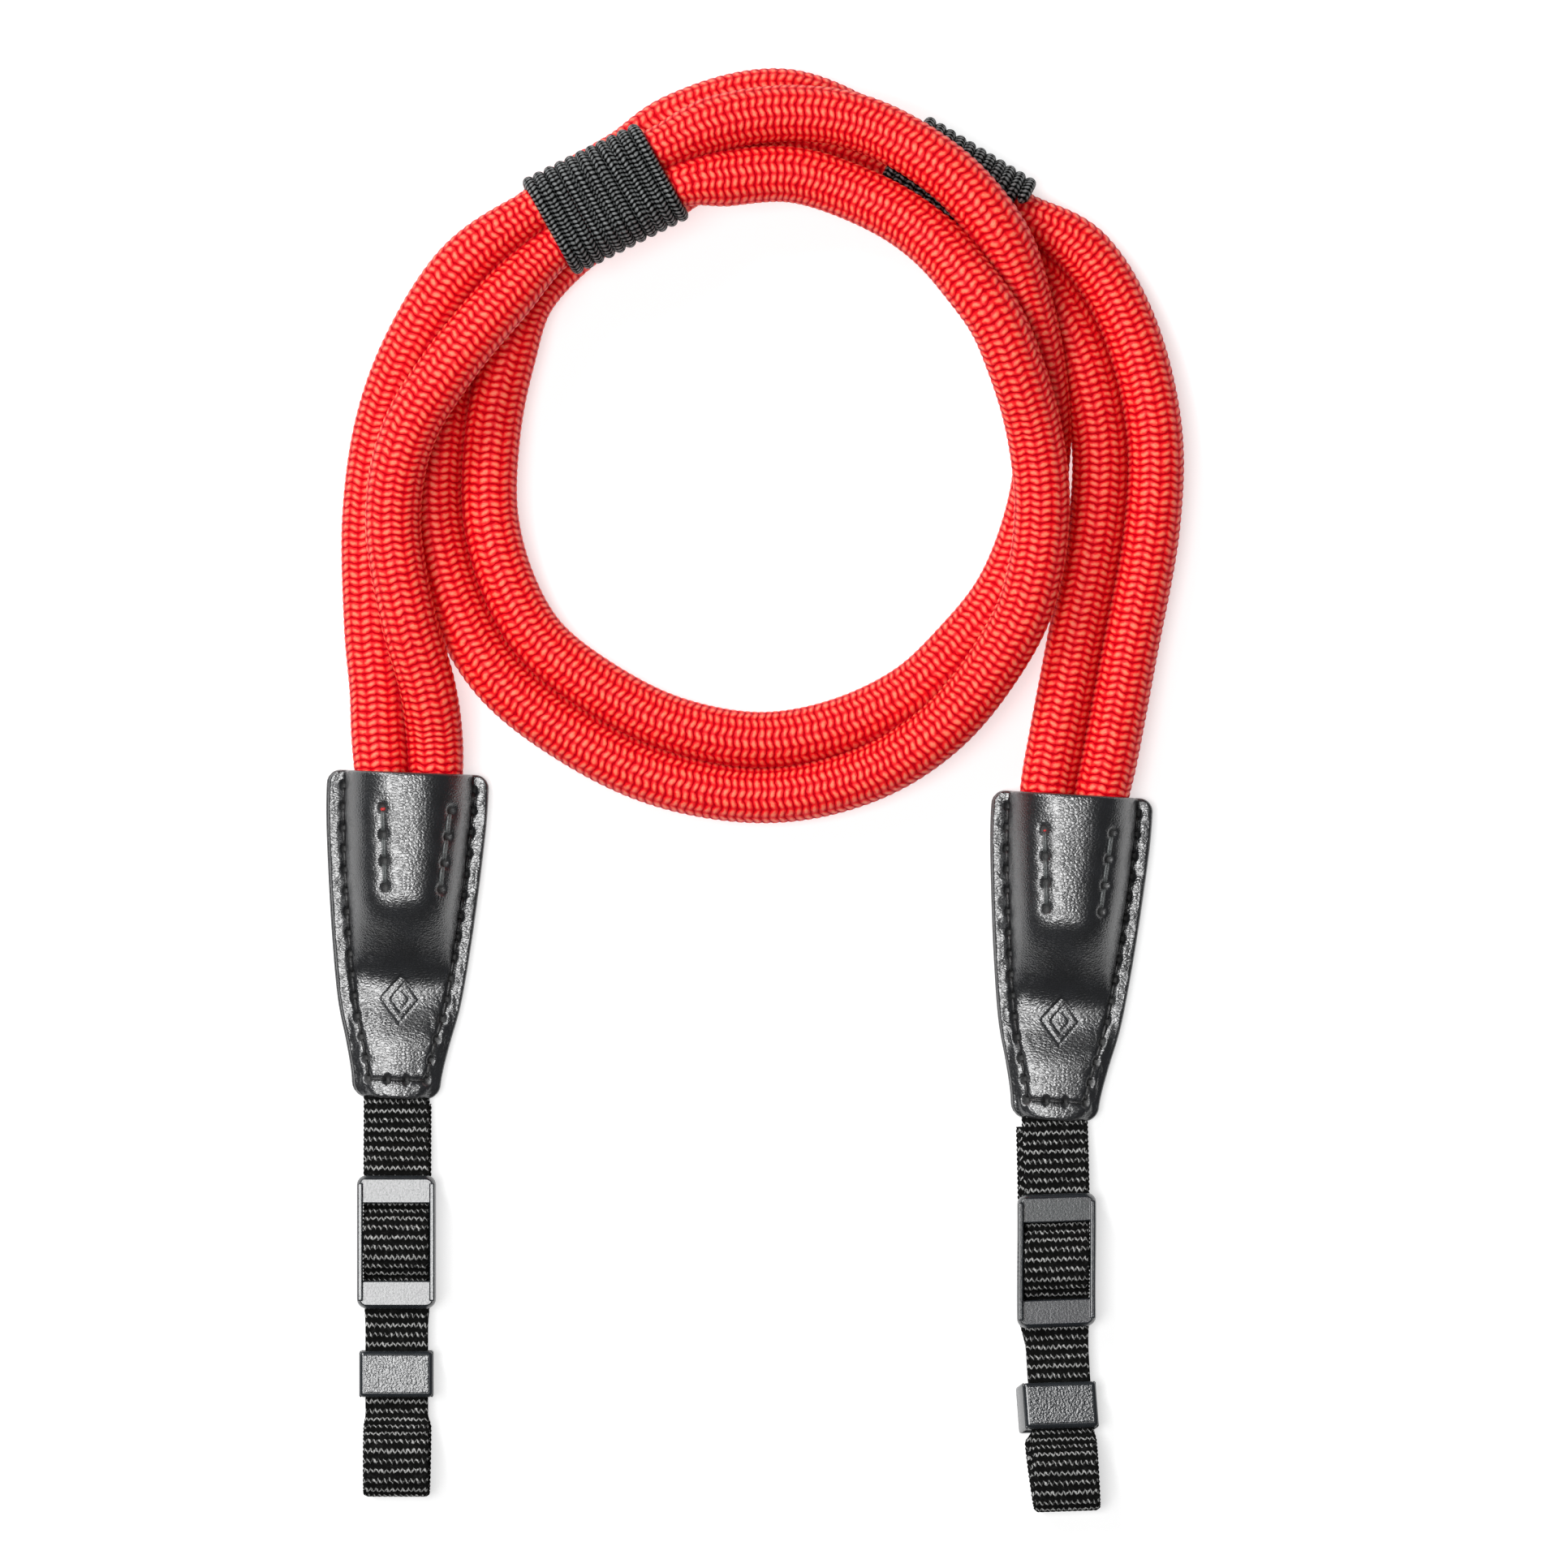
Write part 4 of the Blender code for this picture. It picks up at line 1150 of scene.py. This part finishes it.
def build_strap(side, stuff):
    """The strap in stretches: the arch moves with the slider, the eye with the strap, the rest stays where it
    lies.
    """
    place = strap_frame(side)
    route = strap_route(side)
    walked = lengths_along(route)
    fine_at = np.linspace(0.0, walked[-1], int(walked[-1] / (WEB_ROW / 6)))
    line = smoothed(resample(route, walked, fine_at), 2)
    tip = int(np.argmax(line[:, 0]))
    free, drift = keeper_hold(side, line, tip)
    arch_from, arch_to = slider_middle(side) - ARCH_HALF, slider_middle(side) + ARCH_HALF
    still = SIDES[side]["keeper_at"] + STILL_IN_KEEPER

    def front(distance):
        return int(np.searchsorted(line[:tip, 0], distance))

    def back(distance):
        return len(line) - 1 - int(np.searchsorted(line[::-1][:len(line) - tip, 0], distance))

    def both_layers(start, end):
        return [(front(start), front(end)), (back(end), back(start))]

    def at(distance):
        return frame_point(place, 0.0, distance, STRAP_BEND_HEIGHT)

    spans = {
        "root": [(0, front(ROOT_END)), (back(ROOT_END), len(line) - 1)],
        "upper": both_layers(ROOT_END, arch_from),
        "arch": both_layers(arch_from, arch_to),
        "lower": both_layers(arch_to, still),
        "eye": [(front(still), back(still))],
    }
    made = {}
    for piece, stretches in spans.items():
        parts, fields = [], []
        for start, end in stretches:
            used = slice(start, end + 1)
            part, field = ribbon(line[used], fine_at[used], drift[used], free[used])
            parts.append(bowed(side, part))
            fields.append(field)
        weave = {"weave": np.concatenate(fields)}
        made[piece] = build(f"strap_{side}_{piece}", parts, stuff, weave, place)
    tab, strap, slider = f"tab_{side}", f"strap_{side}", f"slider_{side}"
    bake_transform(made["root"], tab, strap, start=at(FOLD_BEND[0]), end=at(FOLD_BEND[1]))
    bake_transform(made["upper"], strap, slider, start=at(ROOT_END), end=at(arch_from))
    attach(made["arch"], slider)
    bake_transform(made["lower"], slider, strap, start=at(arch_to), end=at(still))
    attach(made["eye"], strap)
    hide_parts(strap)


# ---------------- moulded hardware


def corner_arcs(wide, long, radius, count):
    """The four rounded corners of a rectangle about the origin, in turn."""
    arcs = []
    for quarter, signs in enumerate(((1, 1), (-1, 1), (-1, -1), (1, -1))):
        turns = np.linspace(0.0, math.pi / 2, count) + quarter * math.pi / 2
        middle = np.array(signs) * (wide - radius, long - radius)
        arcs.append(middle + radius * np.stack([np.cos(turns), np.sin(turns)], axis=1))
    return arcs


def rounded_bar(low, high, radius, steps=6):
    """A box with all its edges rounded, as a loft along Y, with extra points on its wide faces."""
    low, high = np.array(low), np.array(high)
    centre, half = (low + high)[[0, 2]] / 2, (high - low)[[0, 2]] / 2
    angles = np.linspace(0.0, math.pi / 2, steps)
    start, end = low[1] + radius, high[1] - radius
    ends = [(start - radius * math.cos(a), radius * math.sin(a)) for a in angles]
    ends += [(start + t * (end - start), radius) for t in FLAT_SUPPORTS]
    ends += [(end + radius * math.cos(a), radius * math.sin(a)) for a in angles[::-1]]
    sections = []
    for y, grown in ends:
        grown = max(grown, 0.02)
        reach = half - radius + grown
        arcs = corner_arcs(*reach, min(grown, *reach), steps)
        loop = []
        for one, two in (arcs[:2], arcs[2:]):
            loop += [*one, *(one[-1] + (two[0] - one[-1]) * t for t in FLAT_SUPPORTS), *two]
        sections.append([(centre[0] + x, y, centre[1] + z) for x, z in loop])
    return loft(np.array(sections))


def rounded_outline(wide, long, radius, count=9):
    """A rectangle with rounded corners about the origin, as points that match between sizes."""
    arcs = corner_arcs(wide, long, radius, count)
    points = []
    for arc, after in zip(arcs, arcs[1:] + arcs[:1]):
        points += [*arc, *np.linspace(arc[-1], after[0], 12)[1:-1]]
    return np.array(points)


def build_slider(side, glossy):
    """A frame with a sloped rim, two raised rails and the middle bar under the strap."""
    wide, long = SLIDER_SIZE[0] / 2 - 0.06, SLIDER_SIZE[1] / 2 - 0.08
    middle = slider_middle(side)
    window = (wide - SLIDER_RAIL, SLIDER_SIZE[1] / 2 - SLIDER_WINDOW_END)
    top, low = SLIDER_BAR_TOP, SLIDER_BAR_UNDERSIDE
    deep = top - low
    # Rows of inset, corner radius and height, then of the window's two growths, radius and height
    outside = [
        (0.25, 1.3, 0.0), (0.06, 1.45, 0.12), (0.0, 1.5, 0.4),
        (0.0, 1.5, deep - 0.75), (0.1, 1.4, deep - 0.5),
        (SLIDER_RIM - 0.12, 0.85, deep - 0.05), (SLIDER_RIM, 0.8, deep), (SLIDER_RIM + 0.05, 0.78, deep),
    ]
    inside = [
        (0.2, 0.24, 0.3, deep), (0.12, 0.16, 0.3, deep), (0.03, 0.04, 0.2, deep - 0.06),
        (0.0, 0.0, 0.2, deep - 0.2), (0.0, 0.0, 0.2, 0.2), (0.1, 0.1, 0.3, 0.0),
    ]
    profile = [(rounded_outline(wide - inset, long - inset, r), height) for inset, r, height in outside]
    profile += [(rounded_outline(window[0] + a, window[1] + b, r), height) for a, b, r, height in inside]
    loops = []
    for outline, height in profile:
        rail = smoothstep(np.abs(outline[:, 0]), window[0] - 0.3, window[0] - 0.1)
        z = low + height - rail * (1.0 - height / deep) * (low - SLIDER_BOTTOM)
        loops.append(np.column_stack([outline, z]))
    ring = np.array(loops + loops[:1]).transpose(1, 0, 2)
    ring = np.concatenate([ring, ring[:1]])[:, :-1] - (0.0, middle, 0.0)
    parts = [loft(ring, capped=False)]
    for sign in (-1, 1):
        x0, x1 = sorted((sign * (wide - SLIDER_RAIL - 0.02), sign * (wide - 0.14)))
        low_end, high_end = -middle - long + 1.2, -middle + long - 1.1
        parts.append(rounded_bar((x0, low_end, top - 0.7), (x1, high_end, SLIDER_TOP - 0.1), 0.24))
    across, along = window[0] + 0.3, SLIDER_MIDDLE_BAR / 2
    ends = (-across, -middle - along, SLIDER_BOTTOM + 0.1), (across, -middle + along, low)
    parts.append(rounded_bar(*ends, 0.3))
    parts = [bowed(side, part) for part in parts]
    made = build(f"slider_{side}_body", parts, glossy, None, strap_frame(side))
    made.data.set_sharp_from_angle(angle=math.radians(50))
    settle(made, f"slider_{side}", f"slider_{side}")


def tilted(side, part):
    """The keeper's lower parts moved sideways and along, more the lower they are."""
    points, faces = part
    below = (KEEPER_TOP - points[:, 2:]).clip(0.0, None)
    return points + below * (*KEEPER_TILT[side], 0.0), faces


def build_keeper(side, glossy, textured):
    """A closed loop with a textured panel on its front."""
    wide = KEEPER_SIZE[0] / 2
    y1 = -SIDES[side]["keeper_at"]
    y0 = y1 - KEEPER_SIZE[1]
    place = strap_frame(side)
    parts = [
        rounded_bar((-wide, y0, 3.9), (wide, y1, KEEPER_TOP - 0.1), 0.66),
        rounded_bar((-wide, y0, 0.05), (wide, y1, 1.05), 0.35),
        rounded_bar((-wide, y0, 0.3), (-wide + KEEPER_WALL, y1, 5.0), 0.28),
        rounded_bar((wide - KEEPER_WALL, y0, 0.3), (wide, y1, 5.0), 0.28),
    ]
    parts = [tilted(side, bowed(side, part)) for part in parts]
    made = build(f"keeper_{side}_body", parts, glossy, None, place)
    settle(made, f"keeper_{side}", f"keeper_{side}")
    panel = rounded_bar((-wide + 0.66, y0 + 0.7, KEEPER_TOP - 0.6), (wide - 0.68, y1 - 0.6, KEEPER_TOP), 0.12)
    made = build(f"keeper_{side}_panel", [bowed(side, panel)], textured, None, place)
    settle(made, f"keeper_{side}")


# ---------------- scene


def add_light(name, where, size, power, aim=(0.0, 50.0, 0.0)):
    data = bpy.data.lights.new(name, "AREA")
    data.shape = "RECTANGLE"
    data.size, data.size_y = (c * METRE for c in size)
    data.energy = power
    made = bpy.data.objects.new(name, data)
    made.location = Vector(where) * METRE
    made.rotation_euler = (Vector(aim) * METRE - made.location).to_track_quat("-Z", "Y").to_euler()
    made.visible_camera = False
    bpy.context.scene.collection.objects.link(made)


def build_stage():
    scene = bpy.context.scene
    scene.view_settings.view_transform = "Standard"
    camera = bpy.data.cameras.new("camera")
    camera.sensor_width = 36.0
    camera.lens = 36.0 * CAMERA_HEIGHT / VIEW_WIDTH
    seen_from = bpy.data.objects.new("camera", camera)
    seen_from.location = Vector((*CAMERA_OVER, CAMERA_HEIGHT)) * METRE
    scene.collection.objects.link(seen_from)
    scene.camera = seen_from
    reach = FLOOR_REACH * METRE
    corners = [(-reach, -reach, 0.0), (reach, -reach, 0.0), (reach, reach, 0.0), (-reach, reach, 0.0)]
    data = bpy.data.meshes.new("floor")
    data.from_pydata(corners, [], [(0, 1, 2, 3)])
    data.materials.append(floor_material())
    floor = bpy.data.objects.new("floor", data)
    floor.location.z = -FLOOR_BELOW * METRE
    scene.collection.objects.link(floor)
    world = bpy.data.worlds.new("studio")
    world.use_nodes = True
    sky = world.node_tree.nodes["Background"].inputs
    sky["Color"].default_value = (1.0, 1.0, 1.0, 1.0)
    sky["Strength"].default_value = 0.08
    scene.world = world
    add_light("softbox", (-315.0, -20.0, 1400.0), (560.0, 660.0), 15.4)
    add_light("key", (-650.0, 800.0, 900.0), (420.0, 420.0), 11.0)


def main():
    build_stage()
    red, black_cord = rope_material(), cord_material()
    leather, webbing = leather_material(), webbing_material()
    black_thread = thread_material("seam_thread", (0.02, 0.02, 0.021), 0.45)
    grey_thread = thread_material("rope_stitch_thread", (0.13, 0.14, 0.14), 0.4)
    red_thread = thread_material("rope_in_hole", (0.8, 0.03, 0.03), 0.5)
    glossy = plastic_material("satin_plastic", 0.014, 0.24)
    textured = plastic_material("textured_plastic", 0.08, 0.2)
    for name, which in (("rope_a", 1), ("rope_b", -1)):
        build_rope(name, which, red)
    for side in SIDES:
        build_whipping(side, black_cord)
        stations, outer = build_tab_front(side, leather)
        build_tab_back(side, leather)
        build_threads(side, stations, outer, black_thread, grey_thread, red_thread)
        build_strap(side, webbing)
        build_slider(side, glossy)
        build_keeper(side, glossy, textured)


main()
